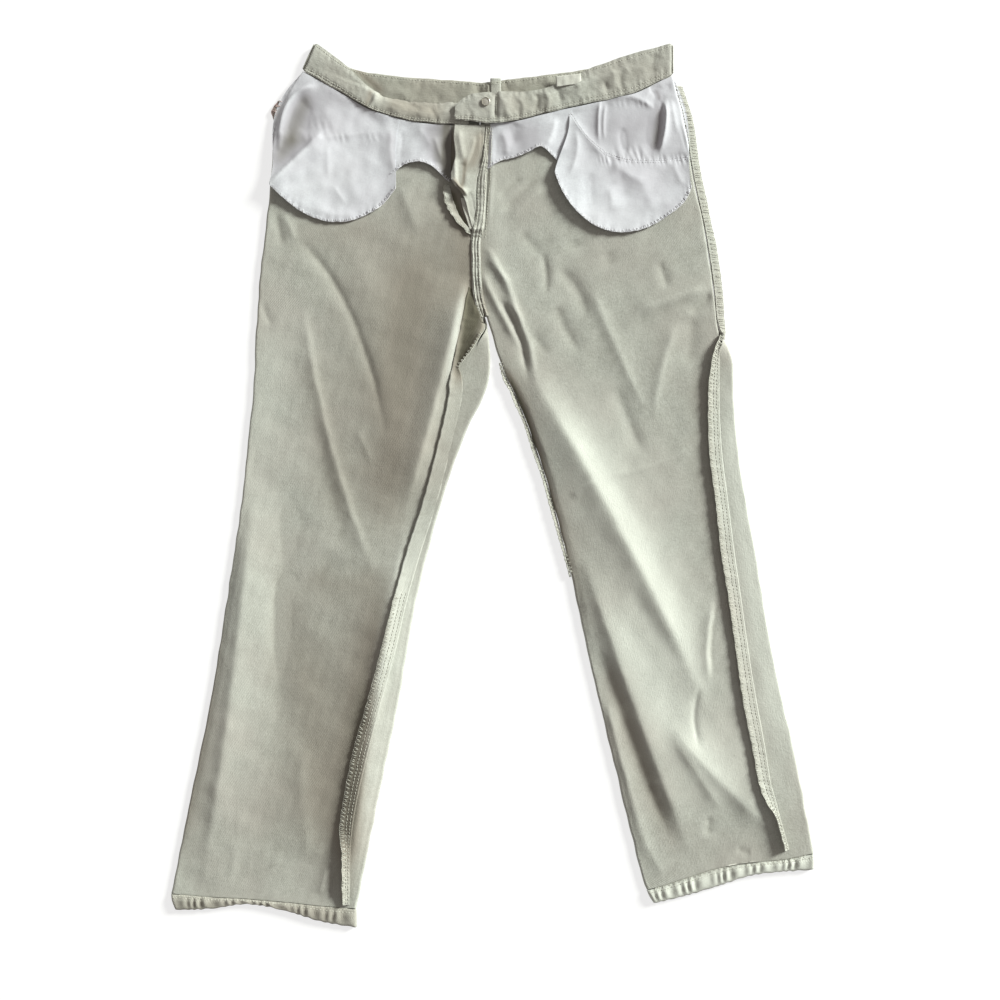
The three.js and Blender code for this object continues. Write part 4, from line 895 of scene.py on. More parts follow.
bagRight = {
    "leg": legRight, "from": 0.45, "to": 0.997, "bow": (9, 16),
    "gathers": [[112, 232, 364, 5, 5.5, 0.42], [130, 190, 371, 8, 9, 0.4], [205, 236, 395, 18, 8, 0.35],
                [120, 210, 427, 4, 7, 0.15]],
    # Painted shade on the bag's upper part and folds, and a little painted light below
    "paintedLightAndShade": [[90, 425, 140, 400, 200, 420, 22, 22, 14, -0.75], [185, 440, 185, 400, 176, 362, 2, 6, 3, -1.1],
              [180, 444, 185, 438, 187, 428, 2, 2, 1.5, -1.2], [200, 410, 208, 370, 212, 330, 8, 8, 6, -0.5],
              [85, 330, 130, 300, 190, 310, 14, 14, 8, 0.2]],
    "bottom": [[69, 350, 5], [78, 328, 6], [94, 306, 5.5], [117, 289, 4], [143, 283, 2.5], [171, 288, 1.6],
               [196, 302, 1.6], [214, 317, 1.6], [222, 333, 2]],
    "folds": [
        [83, 420, 78, 394, 71, 366, 8, 3, 1.5, 2.6],
        [91, 402, 94, 372, 82, 341, 4, 4, 1.5, 1.4],
        [84, 417, 107, 387, 132, 360, 4, 4, 1.5, 1.3],
        [132, 362, 150, 349, 179, 332, 12, 7, 3, 2.2],
        [121, 432, 118, 410, 119, 380, 1.8, 2.2, 0.8, 1.8],
        [127, 428, 124, 408, 125, 384, 1.6, 2, 0.8, 1.3],
        [186, 462, 182, 455, 180, 447, 2, 2, 1, -1.2],
        [145, 402, 146, 386, 152, 370, 3, 3, 1.5, -1.8],
        [124, 428, 156, 434, 190, 414, 5, 2.5, 1.2, 1.8],
        [186, 440, 184, 405, 178, 368, 4, 8, 2, -3.0],
        [192, 434, 193, 402, 184, 366, 4, 2.5, 1.2, 4.4],
        [174, 446, 184, 440, 190, 428, 2, 3, 1, -2.2],
        [199, 432, 203, 412, 207, 390, 3, 3, 1.5, 1.2],
        [178, 448, 190, 442, 200, 452, 3, 3, 1.5, -1.4],
        [129, 336, 133, 321, 134, 303, 8, 5, 3, 1.2],
        [109, 354, 107, 326, 111, 304, 8, 6, 4, -1.0],
        [165, 338, 174, 321, 182, 304, 8, 6, 4, 0.9],
        [201, 366, 206, 349, 215, 334, 4, 5, 2, 1.2],
        [182, 360, 197, 366, 222, 368, 3, 3, 1.5, -1.2],
        [143, 360, 145, 338, 152, 315, 6, 6, 4, -0.8],
    ],
}
stayLeft = {
    "leg": legLeft, "above": 0.7, "from": 0.51, "to": 0.85, "bow": (0, 0),
    # Painted shade beside the fly shield
    "paintedLightAndShade": [[-74, 408, -68, 385, -58, 345, 7, 8, 5, -0.8], [-53, 445, -51, 380, -52, 305, 9, 8, 6, -2.0]],
    "bottom": [[-116, 344, 0.5], [-105, 355, 2.5], [-96, 360, 3.5], [-82, 362, 4], [-68, 357, 3.5],
               [-56, 346, 2], [-47.5, 339, 1]],
    "folds": [
        [-86, 402, -76, 390, -66, 372, 5, 5, 2, 0.8],
        [-66, 392, -62, 378, -57, 362, 3, 3, 1.2, 1.2],
        [-103, 400, -102, 380, -106, 360, 3, 3, 2, -0.8],
        [-71, 357, -62, 361, -55, 352, 3, 3, 1.5, -1.0],
    ],
}
stayRight = {
    "leg": legRight, "from": 0.05, "to": 0.47, "bow": (0, 0),
    # Painted shade on the stay
    "paintedLightAndShade": [[0, 392, 30, 388, 60, 402, 18, 18, 12, -0.95]],
    "bottom": [[-6, 354, 1], [8, 363, 1.5], [24, 367, 1.5], [40, 373, 3], [54, 379, 3.5], [70, 366, 1],
               [84, 352, 0]],
    "folds": [
        [8, 399, 15, 382, 14, 366, 5, 4, 2, 1.4],
        [25, 408, 22, 394, 26, 377, 6, 5, 3, -1.2],
        [71, 415, 66, 394, 58, 375, 4, 6, 2, 1.8],
    ],
}
pocketDetail = {"step": 1.6, "slack": 1.25, "least": 40, "above": 1.1, "below": 0.9, "power": 2.5,
                "unevenness": 0.2, "relief": 1.0, "topRise": 0.5, "topReach": 12, "frill": 0.45,
                "frillPitch": 13, "edgePitch": 6}


def pocketGrid(shape, seed):
    line = waistLine(shape["leg"])
    shares = np.linspace(shape["from"], shape["to"], len(shape["bottom"]))
    top, _ = pointsAlong(line, shares)
    first = [[x, y - pocketDetail["below"] - lay["seamGap"], 0] for x, y in top]
    wide = np.linalg.norm(np.subtract(shape["bottom"][0][:2], shape["bottom"][-1][:2]))
    tall = abs(top[:, 1].mean() - np.mean([p[1] for p in shape["bottom"]])) + pocketDetail["topReach"]
    rows = int(max(wide, pocketDetail["least"]) * pocketDetail["slack"] / pocketDetail["step"])
    columns = int(tall / pocketDetail["step"])
    grid = laidGrid(legSurface, first, shape["bottom"], rows, columns, shape["folds"], shape["bow"],
                    shape.get("above", pocketDetail["above"]), pocketDetail["power"], seed,
                    pocketDetail["unevenness"], pocketDetail["relief"])
    b = np.linspace(0, 1, grid.shape[1])[None, :]
    run = np.linspace(0, wide * pocketDetail["slack"], grid.shape[0])[:, None]
    x, y = grid[..., 0], grid[..., 1]
    grid[..., 2] += pocketDetail["topRise"] * (1 - smooth(b * tall / pocketDetail["topReach"]))
    for fromX, toX, level, half, pitch, amount in shape.get("gathers", ()):
        near = smooth((x - fromX) / 12) * smooth((toX - x) / 12) * np.exp(-(((y - level) / half) ** 2))
        grid[..., 2] += amount * pucker(x + 0.25 * y, pitch, seed) * near
    grid[..., 2] += pocketDetail["frill"] * pucker(run, pocketDetail["frillPitch"], seed) * b**28
    grid[..., 1] += pocketDetail["frill"] * pucker(run, pocketDetail["edgePitch"], seed + 1) * b**40
    return grid


pocketing = {}
pocketShapes = {"stay_left": stayLeft, "stay_right": stayRight, "bag_left": bagLeft, "bag_right": bagRight}
for seed, (name, shape) in enumerate(pocketShapes.items(), 31):
    pocketing[name] = pocketGrid(shape, seed)
    panels["pocket_" + name] = shell(f"pocket_{name}_cloth", pocketing[name], wall["pocketing"],
                                     materials["pocketing"], paintedLightAndShade=shape["paintedLightAndShade"], softRim=False)
print("pocketing made")

# Fly pieces. Columns: leftX, leftY, leftLift, rightX, rightY, rightLift
flyPieces = {
    "fly_shield": {
        "edges": [[-43, 403.5, 1.5, -9, 403.5, 0.2], [-44, 388, 5.0, -10, 388, 0.4],
                  [-42, 368, 6.0, -12, 368, 0.6], [-45, 354, 6.5, -15, 354, 0.8],
                  [-47, 341, 6.5, -18, 341, 1.2], [-33, 323, 5.0, -19, 321, 1],
                  [-27, 303, 2.4, -19, 303, 0.5], [-22, 284, 0.2, -18, 284, 0]],
        "rows": 110, "columns": 34, "material": "twill", "seed": 41,
        "folds": [
            [-48, 343, -37, 333, -27, 322, 2, 5, 0.8, 2.6],
            [-44, 338, -36, 327, -30, 318, 2, 2, 0.8, -2.0],
            [-12, 399, -18, 372, -31, 345, 4, 5, 1.5, -2.4],
            [-34, 362, -36, 345, -35, 328, 2, 3, 1, -2.6],
            [-42, 366, -42, 350, -41, 334, 3, 2.5, 1.5, 1.8],
            [-38, 400, -36, 380, -31, 357, 4, 3, 2, 1.4],
            [-20, 392, -24, 374, -33, 350, 3, 3, 1.5, 1.2],
            [-27, 330, -24, 312, -21, 294, 2, 2.5, 1, -1.4],
        ],
    },
    "fly_facing": {
        "edges": [[-54, 337, 1.4, -48.5, 335, 0.6], [-55, 326, 2.4, -46, 325, 0.4],
                  [-52, 313, 1.8, -42, 312, 0.2], [-44, 300, 2.4, -36.5, 300, 0.2],
                  [-34, 288, 1.4, -29, 290, 0.2], [-25.5, 281, 0.6, -23.5, 283, 0]],
        "rows": 70, "columns": 10, "material": "twill", "seed": 42, "wave": 1.3,
        "folds": [[-48, 332, -45, 318, -33, 292, 1.5, 2, 1, -1.2]],
    },
    "zip_tape": {
        "edges": [[-36, 321, 1.8, -28.5, 322, 1.2], [-33.5, 309, 1.6, -26, 310, 0.8],
                  [-29.5, 297, 1.0, -23, 298, 0.3], [-26, 286, 0.4, -21, 286, 0]],
        "rows": 30, "columns": 9, "material": "tape", "seed": 43, "folds": [],
    },
    "rise_seam": {
        "edges": [[-8.4, 402, 0.6, -2, 402, 0], [-9.4, 388, 0.6, -3.5, 388, 0], [-11.4, 368, 0.6, -5, 368, 0],
                  [-15, 354, 0.6, -6, 354, 0], [-17.4, 341, 0.6, -7, 341, 0], [-18.4, 321, 0.5, -7.5, 321, 0],
                  [-19.5, 303, 0.4, -8.5, 303, 0], [-22, 290, 0.6, -9.5, 290, 0.3],
                  [-24.5, 277, 0.4, -13.5, 277, 0], [-24.5, 264, 0.2, -14, 264, 0],
                  [-24, 242, 0.2, -13.5, 242, 0], [-23, 219, 0.2, -12, 219, 0], [-20, 203, 0.4, -9, 203, 0.3],
                  [-14, 187, 0.6, -4.5, 190, 0.6]],
        "rows": 190, "columns": 22, "material": "twill", "seed": 44,
        "ridges": 3, "ridgeRise": 0.4, "weakFrom": 280,
        "folds": [[-30, 290, -18, 286, -8, 291, 2, 3, 1, 1.4], [-28, 281, -18, 277, -6, 283, 2, 2.5, 1, -1.2],
                  [-8, 214, -9, 202, -4, 188, 3, 5, 1.5, -2.0], [-16, 402, -11, 392, -8, 378, 2, 2, 1, -0.8]],
    },
}


stripAbove = 1.3  # from the leg's surface to the top of what is laid on it


def stripGrid(piece, unevenness=0.1, power=1.0):
    left = [edge[:3] for edge in piece["edges"]]
    right = [edge[3:] for edge in piece["edges"]]
    return laidGrid(legSurface, left, right, piece["rows"], piece["columns"], piece["folds"], (0, 0),
                    stripAbove, power, piece["seed"], unevenness)


# Painted shade in the gaps and creases around the fly, with the columns of the folds
flyPaintedShade = [
    [-12, 404, -17, 376, -30, 344, 5, 7, 4, -0.95],
    [-46, 346, -38, 333, -28, 321, 1.5, 2, 1, -1.2],
    [-31, 368, -32, 348, -36, 326, 1.5, 2, 1, -1.2],
    [-8, 230, -10, 205, -3, 184, 5, 4, 2, -0.9],
    [-1, 404, -2, 385, -6, 350, 3, 3, 2, -0.7],
    [-48, 330, -42, 305, -28, 284, 3, 3, 2, -0.6],
]
fly = {}
for name, piece in flyPieces.items():
    grid = stripGrid(piece)
    if "ridges" in piece:
        b = np.linspace(0, 1, piece["columns"])[None, :] + 0.04 * pucker(grid[:, :1, 1], 37, piece["seed"])
        rise = piece["ridgeRise"] * (1 + 0.5 * pucker(grid[..., 1], 19, piece["seed"] + 1))
        rise = rise * (1 - 0.45 * smooth((grid[..., 1] - piece["weakFrom"]) / 20))
        grid[..., 2] += rise * np.cos(2 * np.pi * (b * piece["ridges"] - 0.5))
        grid[..., 2] += 0.25 * pucker(grid[..., 1], 7, piece["seed"] + 2)
    if "wave" in piece:
        fromFree = np.linspace(1, 0.2, piece["columns"])
        grid[..., 0] += piece["wave"] * pucker(grid[..., 1], 8, piece["seed"]) * fromFree
        fromFree = np.linspace(1, 0, piece["columns"])
        grid[..., 2] += 0.6 * pucker(grid[..., 1], 10, piece["seed"] + 1) * fromFree
    fly[name] = grid
    panels[name] = shell(name + "_cloth", grid, wall["cloth"], materials[piece["material"]], paintedLightAndShade=flyPaintedShade)
print("fly made")

# Allowances on the front. Columns: freeX, freeY, freeLift, seamX, seamY, seamLift
allowances = {
    "inseam_allowance_left": {
        "edges": [[-27, 222, -1.1, -22, 219, -1.2], [-30, 209, -1.0, -19, 203, -0.6],
                  [-33, 192, -1.0, -13.5, 188, 0.6], [-36, 178, -1.0, -9, 178, 2.4],
                  [-38.5, 166, -1.0, -13.5, 168, 4.2], [-41, 154, -0.9, -22, 154, 4.6],
                  [-43.5, 142, -0.8, -31, 142, 4.4], [-45.5, 132, -0.8, -38.5, 132, 2.5],
                  [-47, 124, 0, -36, 125, 0.2], [-49, 112, 0.9, -34, 112, -1.2],
                  [-50, 96, 1.1, -35, 94, -1.3], [-60, 51, 1.2, -45, 51, -1.4],
                  [-78, -17, 1.3, -62, -17, -1.4], [-96, -73, 1.6, -80, -73, -1.2],
                  [-111, -129, 1.6, -96, -129, -0.8], [-125, -186, 1.2, -109, -186, 0.4],
                  [-140, -242, 0.6, -124, -242, 2], [-156, -298, 0.8, -139, -298, 2.4],
                  [-167, -354, 1, -152, -354, 2.4], [-171, -388, 2, -157, -386, 1.6],
                  [-168, -411, 5, -159, -411, 0.6], [-168, -444, 6.5, -160, -442, 0.3],
                  [-168, -471, 3, -161, -471, 0.3]],
        "rows": 360, "columns": 13, "seed": 51, "sewnTo": -118,
        "folds": [[-18, 196, -26, 176, -36, 150, 3, 4, 1.5, -1.2], [-22, 205, -22, 186, -29, 166, 2, 2, 1, 0.7],
                  [-10, 176, -20, 160, -31, 142, 1.6, 3, 0.8, 1.2],
                  [-30, 190, -35, 172, -39, 150, 2, 2, 1, -0.6]],
        # Painted shade in the recess at the crotch
        "paintedLightAndShade": [[-22, 246, -25, 180, -43, 100, 12, 10, 8, -2.0]],
    },
    "outseam_allowance_right_lower": {
        "edges": [[257, 172, 0.6, 259, 171, 0.3], [251.5, 160, 3, 257, 159, 0.3],
                  [246.5, 146, 4.6, 254, 146, -0.4], [242, 118, 4.4, 254, 118, -1.0],
                  [241, 96, 4, 254, 92, -1.2], [242, 39, 3.6, 257, 36, -1.2], [249, -17, 3.8, 264, -19, -1.2],
                  [255, -73, 3.4, 271, -75, -1.2], [264, -129, 3.6, 279, -131, -1.2],
                  [272, -186, 3.2, 287, -188, -1.2], [280, -242, 3.4, 296, -244, -1.0],
                  [291, -298, 3, 306, -300, 0.3], [297, -332, 3.6, 311, -333, 0.3],
                  [305, -354, 4.5, 317, -354, 0.3], [316, -371, 6, 322, -373, 0.4],
                  [327, -409, 6, 332, -409, 0.4]],
        "rows": 290, "columns": 13, "seed": 52, "sewnTo": 200, "folds": [], "paintedLightAndShade": [],
    },
}
allowanceDetail = {"ruffle": 0.45, "pitch": 11, "sway": 0.4, "stitchDip": 0.45, "stitchLines": (0.52, 0.78)}


def allowanceGrid(piece):
    grid = stripGrid(piece, 0.12, 0.8)
    run = np.concatenate([[0], np.cumsum(np.linalg.norm(np.diff(grid[:, 0], axis=0), axis=1))])[:, None]
    b = np.linspace(0, 1, grid.shape[1])[None, :]
    wave = pucker(run, allowanceDetail["pitch"], piece["seed"])
    sewn = 1 - smooth((grid[..., 1] - piece["sewnTo"]) / 30)
    grid[..., 2] += allowanceDetail["ruffle"] * wave * (1 - b) ** 1.5 * (0.35 + 0.65 * sewn)
    grid[..., 0] += allowanceDetail["sway"] * pucker(run, 17, piece["seed"] + 2) * (1 - b)
    dips = allowanceDetail["stitchDip"] * (1 + 0.7 * pucker(run, 8, piece["seed"] + 4)) * sewn
    for place in allowanceDetail["stitchLines"]:
        grid[..., 2] -= dips * np.exp(-(((b - place) / 0.1) ** 2))
    return grid


strips = {}
for name, piece in allowances.items():
    strips[name] = allowanceGrid(piece)
    panels[name] = shell(name + "_cloth", strips[name], wall["cloth"], materials["twill"],
                         paintedLightAndShade=[*paintedLightAndShadeLines, *piece["paintedLightAndShade"]])

# Allowances that stick out past an edge: the stretch of sections they run along, and widths at even steps
outward = {
    "outseam_allowance_right_upper": {
        "leg": legRight, "edge": "far", "side": 1, "from": 0.3, "to": 7.1, "rows": 200,
        "high": 4.6, "low": 2.4, "widths": [8, 10.5, 9, 9.5, 8.5, 10, 10, 9.5, 9, 7, 2],
    },
    "inseam_allowance_right": {
        "leg": legRight, "edge": "near", "side": -1, "from": 8.5, "to": 12.25, "rows": 150,
        "high": 2.4, "low": 5.0, "widths": [0.8, 2.6, 4.5, 4, 5.2, 3.5, 5.2, 4, 4.6, 3.6, 1.6],
    },
    "outseam_allowance_left": {
        "leg": legLeft, "edge": "near", "side": -1, "from": 1.1, "to": 1.7, "rows": 22,
        "high": 4.6, "low": 3.0, "widths": [8, 11, 4],
    },
}


outwardDetail = {"columns": 7, "gap": 0.3, "frill": 0.5, "wave": 0.35, "lowest": 1.25}


def outwardGrid(piece, seed):
    detail = outwardDetail
    t = np.linspace(piece["from"], piece["to"], piece["rows"])
    column = columnsAt(piece["leg"]["sections"], t)
    x, y = column[piece["edge"] + "X"], column[piece["edge"] + "Y"]
    widths = along(piece["widths"], np.linspace(0, len(piece["widths"]) - 1, len(t)))
    b = np.linspace(0, 1, detail["columns"])[None, :]
    run = np.concatenate([[0], np.cumsum(np.hypot(np.diff(x), np.diff(y)))])[:, None]
    out = detail["gap"] + b * (widths[:, None] - detail["gap"]) + detail["frill"] * b * pucker(run, 6, seed)
    px = x[:, None] + piece["side"] * out
    py = y[:, None] + 0 * px
    pz = mix(piece["high"], piece["low"], b) + detail["wave"] * b * pucker(run, 9, seed + 1)
    return np.stack([px, py, np.maximum(pz, detail["lowest"])], 2)


for seed, (name, piece) in enumerate(outward.items(), 61):
    strips[name] = outwardGrid(piece, seed)
    panels[name] = shell(name + "_cloth", strips[name], wall["cloth"], materials["twill"])
print("allowances made")

# ---- hems

hems = {
    "left": {
        "sections": [[-361, -459, -163, -475, -153, -476, 90, 90, 90, 0, 1],
                     [-360, -467, -163, -485, -153, -486, 90, 90, 90, 0.5, 0.5],
                     [-357, -476, -163, -495, -153, -496, 90, 90, 90, 1, 0]],
        "edge": [0, 5, 14, 11, 3, 0], "bend": legLeft["hem"], "seed": 71,
    },
    "right": {
        "sections": [[173, -455, 334, -419, 360, -414, 90, 90, 90, 0, 1],
                     [176, -462, 334, -427, 361, -422, 90, 90, 90, 0.5, 0.5],
                     [180, -469, 334, -437, 360, -431, 90, 90, 90, 1, 0]],
        "edge": [0, 1, 4, 8, 5, 0], "bend": legRight["hem"], "seed": 74,
    },
}
hemDetail = {"step": 1.5, "pitch": 10.5, "pucker": 1.1, "puff": 0.5, "stitchDip": 0.6, "stitchAt": 0.18,
             "topDrop": 1.6, "edgeDrop": 0.8, "sway": 0.5}


def hemGrid(hem, isFront):
    detail = hemDetail
    table = [[*row[:2], row[4], row[5], *row[4:]] for row in hem["sections"]]
    grid = panelGrid(table, isFront, lay["hem"], detail["step"], hem["edge"], hem["bend"], (), hem["seed"])
    if isFront:
        run = np.concatenate([[0], np.cumsum(np.linalg.norm(np.diff(grid[0], axis=0), axis=1))])[None, :]
        v = np.linspace(0, 1, grid.shape[0])[:, None]
        ends = smooth(run / 8) * smooth((run[:, -1:] - run) / 8)
        wave = pucker(run + 2.5 * v, detail["pitch"], hem["seed"])
        dip = detail["stitchDip"] * np.exp(-(((v - detail["stitchAt"]) / 0.1) ** 2))
        grid[..., 2] += detail["pucker"] * wave * np.sin(np.pi * np.clip(v, 0.1, 1)) * ends
        grid[..., 2] += (detail["puff"] * np.sin(np.pi * v) - dip) * ends
        grid[..., 2] -= detail["topDrop"] * np.exp(-v / 0.07) * ends
        grid[-1, :, 2] -= detail["edgeDrop"] * ends[0]
        grid[..., 1] += detail["sway"] * wave * v
    return grid


# Painted shade on the left hem and painted light on the right one, with the columns of the folds
hemPaintedLightAndShade = [[-430, -475, -260, -478, -90, -490, 20, 20, 14, -0.75],
            [100, -480, 260, -440, 430, -410, 20, 20, 14, 0.95]]
for side, hem in hems.items():
    hem["front"], hem["back"] = hemGrid(hem, True), hemGrid(hem, False)
    front, back = "hem_front_" + side, "hem_back_" + side
    panels[front] = shell(front + "_cloth", hem["front"], wall["hem"], materials["twill"], paintedLightAndShade=hemPaintedLightAndShade)
    # The back hems take the darker copy of the twill as painted shade
    panels[back] = shell(back + "_cloth", hem["back"], wall["hem"], materials["twillPaintedShade"], faceUp=False)
print("hems made")

# ---- small pieces

smallPieces = {
    "belt_loop": {"corners": [[-3, 456, 9, 456], [-3, 426, 9, 426]], "top": 4.7, "rows": 20, "columns": 9,
                  "material": "twill", "wall": "cloth", "puff": 0.6},
    "size_tag": {"corners": [[70, 457, 98, 460], [71, 445, 99, 449]], "top": 9.1, "rows": 12, "columns": 22,
                 "material": "ribbon", "wall": "tag", "puff": 0.35},
}


def plateGrid(piece, seed):
    (ax, ay, bx, by), (cx, cy, dx, dy) = piece["corners"]
    a = np.linspace(0, 1, piece["rows"])[:, None]
    b = np.linspace(0, 1, piece["columns"])[None, :]
    x = mix(mix(ax, bx, b), mix(cx, dx, b), a)
    y = mix(mix(ay, by, b), mix(cy, dy, b), a)
    z = piece["top"] + piece["puff"] * np.sin(np.pi * b) ** 0.7 + 0.18 * ripple(x, y, 9, seed) + 0 * a
    return np.stack([x, y, z], 2)


small = {}
for seed, (name, piece) in enumerate(smallPieces.items(), 81):
    small[name] = plateGrid(piece, seed)
    panels[name] = shell(name + "_cloth", small[name], wall[piece["wall"]], materials[piece["material"]])

tack = {"x": -8, "y": 428, "base": 11.3, "radius": 4.4, "sides": 28, "rim": 1.1, "bevel": 0.4, "lip": 0.9,
        "dish": 0.6, "slope": 0.7, "foot": 0.5, "nub": 1.0}


def makeTack():
    bpy.ops.object.select_all(action="DESELECT")
    middle = (tack["x"] * mm, tack["y"] * mm, (tack["base"] + tack["rim"] / 2) * mm)
    bpy.ops.mesh.primitive_cylinder_add(vertices=tack["sides"], radius=tack["radius"] * mm,
                                        depth=tack["rim"] * mm, location=middle)
    thing = bpy.context.object
    thing.name = thing.data.name = "button_tack_metal"
    bpy.ops.object.mode_set(mode="EDIT")
    bpy.ops.mesh.select_mode(type="FACE")
    bpy.ops.mesh.select_all(action="DESELECT")
    bpy.ops.object.mode_set(mode="OBJECT")
    for face in thing.data.polygons:
        face.select = face.normal.z > 0.9
    bpy.ops.object.mode_set(mode="EDIT")
    bpy.ops.mesh.bevel(offset=tack["bevel"] * mm, segments=3)
    bpy.ops.mesh.inset(thickness=tack["lip"] * mm)
    bpy.ops.mesh.extrude_region_move(TRANSFORM_OT_translate={"value": (0, 0, -tack["dish"] * mm)})
    bpy.ops.mesh.inset(thickness=tack["slope"] * mm)
    bpy.ops.mesh.inset(thickness=tack["foot"] * mm)
    bpy.ops.mesh.extrude_region_move(TRANSFORM_OT_translate={"value": (0, 0, tack["nub"] * mm)})
    bpy.ops.mesh.inset(thickness=tack["foot"] * mm)
    bpy.ops.mesh.select_all(action="SELECT")
    bpy.ops.mesh.normals_make_consistent(inside=False)
    bpy.ops.object.mode_set(mode="OBJECT")
    bpy.ops.object.transform_apply(location=True, rotation=True, scale=True)
    bpy.ops.object.shade_smooth_by_angle(angle=math.radians(50))
    thing.data.materials.append(materials["metal"])
    return thing


panels["button_tack"] = makeTack()
print("small pieces made")

# ---- threads: one stitch is modelled, and copies of it are laid along lines on the cloth


def modelStitch():
    bpy.ops.object.select_all(action="DESELECT")
    bpy.ops.mesh.primitive_uv_sphere_add(segments=6, ring_count=4, radius=1, rotation=(0, math.pi / 2, 0))
    thing = bpy.context.object
    bpy.ops.object.transform_apply(location=True, rotation=True, scale=True)
    mesh = thing.data
    points = np.array([v.co for v in mesh.vertices], float)
    points[:, 0] = np.sign(points[:, 0]) * np.abs(points[:, 0]) ** 0.8
    faces = [list(p.vertices) for p in mesh.polygons]
    bpy.data.objects.remove(thing)
    return points, faces


stitchPoints, stitchFaces = modelStitch()
allSurface = surfaceOf([legLeft["front"], legRight["front"], legLeft["back"], legRight["back"],
                        *bands.values(), *pocketing.values(), *fly.values(), *strips.values(),
                        hems["left"]["front"], hems["right"]["front"], *small.values()])


def evenly(path, pitch):
    path = np.asarray(path, float)
    run = np.concatenate([[0], np.cumsum(np.linalg.norm(np.diff(path[:, :2], axis=0), axis=1))])
    places = np.arange(pitch / 2, run[-1], pitch)
    return np.stack([np.interp(places, run, path[:, axis]) for axis in range(path.shape[1])], 1)


# Stitches by what they hold. Columns: pitch, length, radius
stitches = {
    "band": (3.3, 2.3, 0.4), "allowance": (3.8, 2.7, 0.38), "outseam": (3.4, 2.4, 0.4),
    "hem": (3.6, 2.5, 0.42), "rise": (3.2, 2.3, 0.4), "lap": (2.8, 2.0, 0.38), "loop": (1.4, 1.3, 0.35),
    "bag": (3.0, 2.1, 0.3),
}
# Overlocking by the edge that it covers. Columns: depth, pitch, radius
overlocks = {
    "allowance": (4.4, 2.3, 0.36), "fold": (2.8, 2.1, 0.42), "outseam": (6.5, 2.2, 0.36),
    "inseam": (3.6, 2.4, 0.36), "hem": (1.8, 3.0, 0.3), "facing": (2.6, 2.2, 0.36),
    "pocketing": (3.0, 2.2, 0.3), "leftOutseam": (5.5, 1.8, 0.45),
}
# A thread sinks a little into the cloth, and doesn't bridge a step
threadDetail = {"sink": 0.05, "step": 2.5, "nudge": 0.12, "edgeStep": 3}


# Short threads one after another along a path, each with its ends on the cloth
def stitchLine(path, kind, seed):
    pitch, length, radius = stitches[kind]
    rng = np.random.default_rng(seed)
    points = evenly(path, pitch)[:, :2]
    bars = []
    for i, middle in enumerate(points):
        ahead = points[min(i + 1, len(points) - 1)] - points[max(i - 1, 0)]
        ahead /= max(np.linalg.norm(ahead), 1e-6)
        half = ahead * length / 2 * rng.uniform(0.85, 1.1)
        nudge = rng.normal(0, threadDetail["nudge"], 2)
        start, end = middle - half + nudge, middle + half + nudge
        zStart, zEnd = allSurface(np.array([start[0], end[0]]), np.array([start[1], end[1]]))
        if abs(zStart - zEnd) > threadDetail["step"]:
            zStart = zEnd = max(zStart, zEnd)
        bars.append(((*start, zStart - threadDetail["sink"]), (*end, zEnd - threadDetail["sink"]), radius))
    return bars


# Overlocked edge: slanted bars over the edge band, and a bead along the edge. inward is the cloth's side.
def sergedLine(path, inward, kind, seed):
    depth, pitch, radius = overlocks[kind]
    rng = np.random.default_rng(seed)
    points = evenly(path, pitch)
    bars = []
    for i in range(len(points) - 1):
        a, b = points[i, :3], points[i + 1, :3]
        ahead = (b - a)[:2] / max(np.linalg.norm((b - a)[:2]), 1e-6)
        side = np.array([-ahead[1], ahead[0]]) * inward
        lean = rng.uniform(0.15, 0.75)
        reach = depth * rng.uniform(0.85, 1.12)
        inner = a[:2] + side * reach + ahead * lean * pitch
        if i % 2 == 0:
            inner = inner - ahead * lean * pitch * 1.6
        start = a[:2] - side * 0.25
        zStart = a[2] + 0.05
        zInner = float(allSurface(np.array([inner[0]]), np.array([inner[1]]))[0]) + 0.12
        if abs(zInner - zStart) > threadDetail["edgeStep"]:
            zInner = zStart
        bars.append(((*start, zStart), (*inner, zInner), radius * rng.uniform(0.8, 1.25)))
        bead = [(*(end[:2] - side * 0.15), end[2] - 0.3) for end in (a, b)]
        bars.append((*bead, radius * 1.5))
    return bars


def threadMesh(name, bars, material):
    starts, ends = np.array([b[0] for b in bars], float), np.array([b[1] for b in bars], float)
    radii = np.array([b[2] for b in bars], float)
    ahead = ends - starts
    length = np.linalg.norm(ahead, axis=1, keepdims=True)
    ahead = ahead / np.maximum(length, 1e-6)
    side = np.cross([0, 0, 1.0], ahead)
    side /= np.maximum(np.linalg.norm(side, axis=1, keepdims=True), 1e-6)
    up = np.cross(ahead, side)
    scaled = stitchPoints[None] * np.stack([length[:, 0] / 2 + radii * 0.3, radii, radii], 1)[:, None, :]
    points = ((starts + ends) / 2)[:, None, :] + scaled[..., 0:1] * ahead[:, None]
    points = points + scaled[..., 1:2] * side[:, None] + scaled[..., 2:3] * up[:, None]
    count = len(stitchPoints)
    mesh = bpy.data.meshes.new(name)
    faces = [[i * count + v for v in face] for i in range(len(bars)) for face in stitchFaces]
    mesh.from_pydata((points.reshape(-1, 3) * mm).tolist(), [], faces)
    mesh.polygons.foreach_set("use_smooth", np.ones(len(faces), bool))
    mesh.update()
    mesh.materials.append(material)
    thing = bpy.data.objects.new(name, mesh)
    bpy.context.scene.collection.objects.link(thing)
    return thing


# A line down a grid at a share of its width, or across it at a share of its length
def downGrid(grid, share, start=0.0, end=1.0):
    column = share * (grid.shape[1] - 1)
    i = min(int(column), grid.shape[1] - 2)
    line = mix(grid[:, i], grid[:, i + 1], column - i)
    last = len(line) - 1
    return line[int(start * last):int(end * last) + 1]


def acrossGrid(grid, share, start=0.0, end=1.0):
    return downGrid(grid.transpose(1, 0, 2), share, start, end)


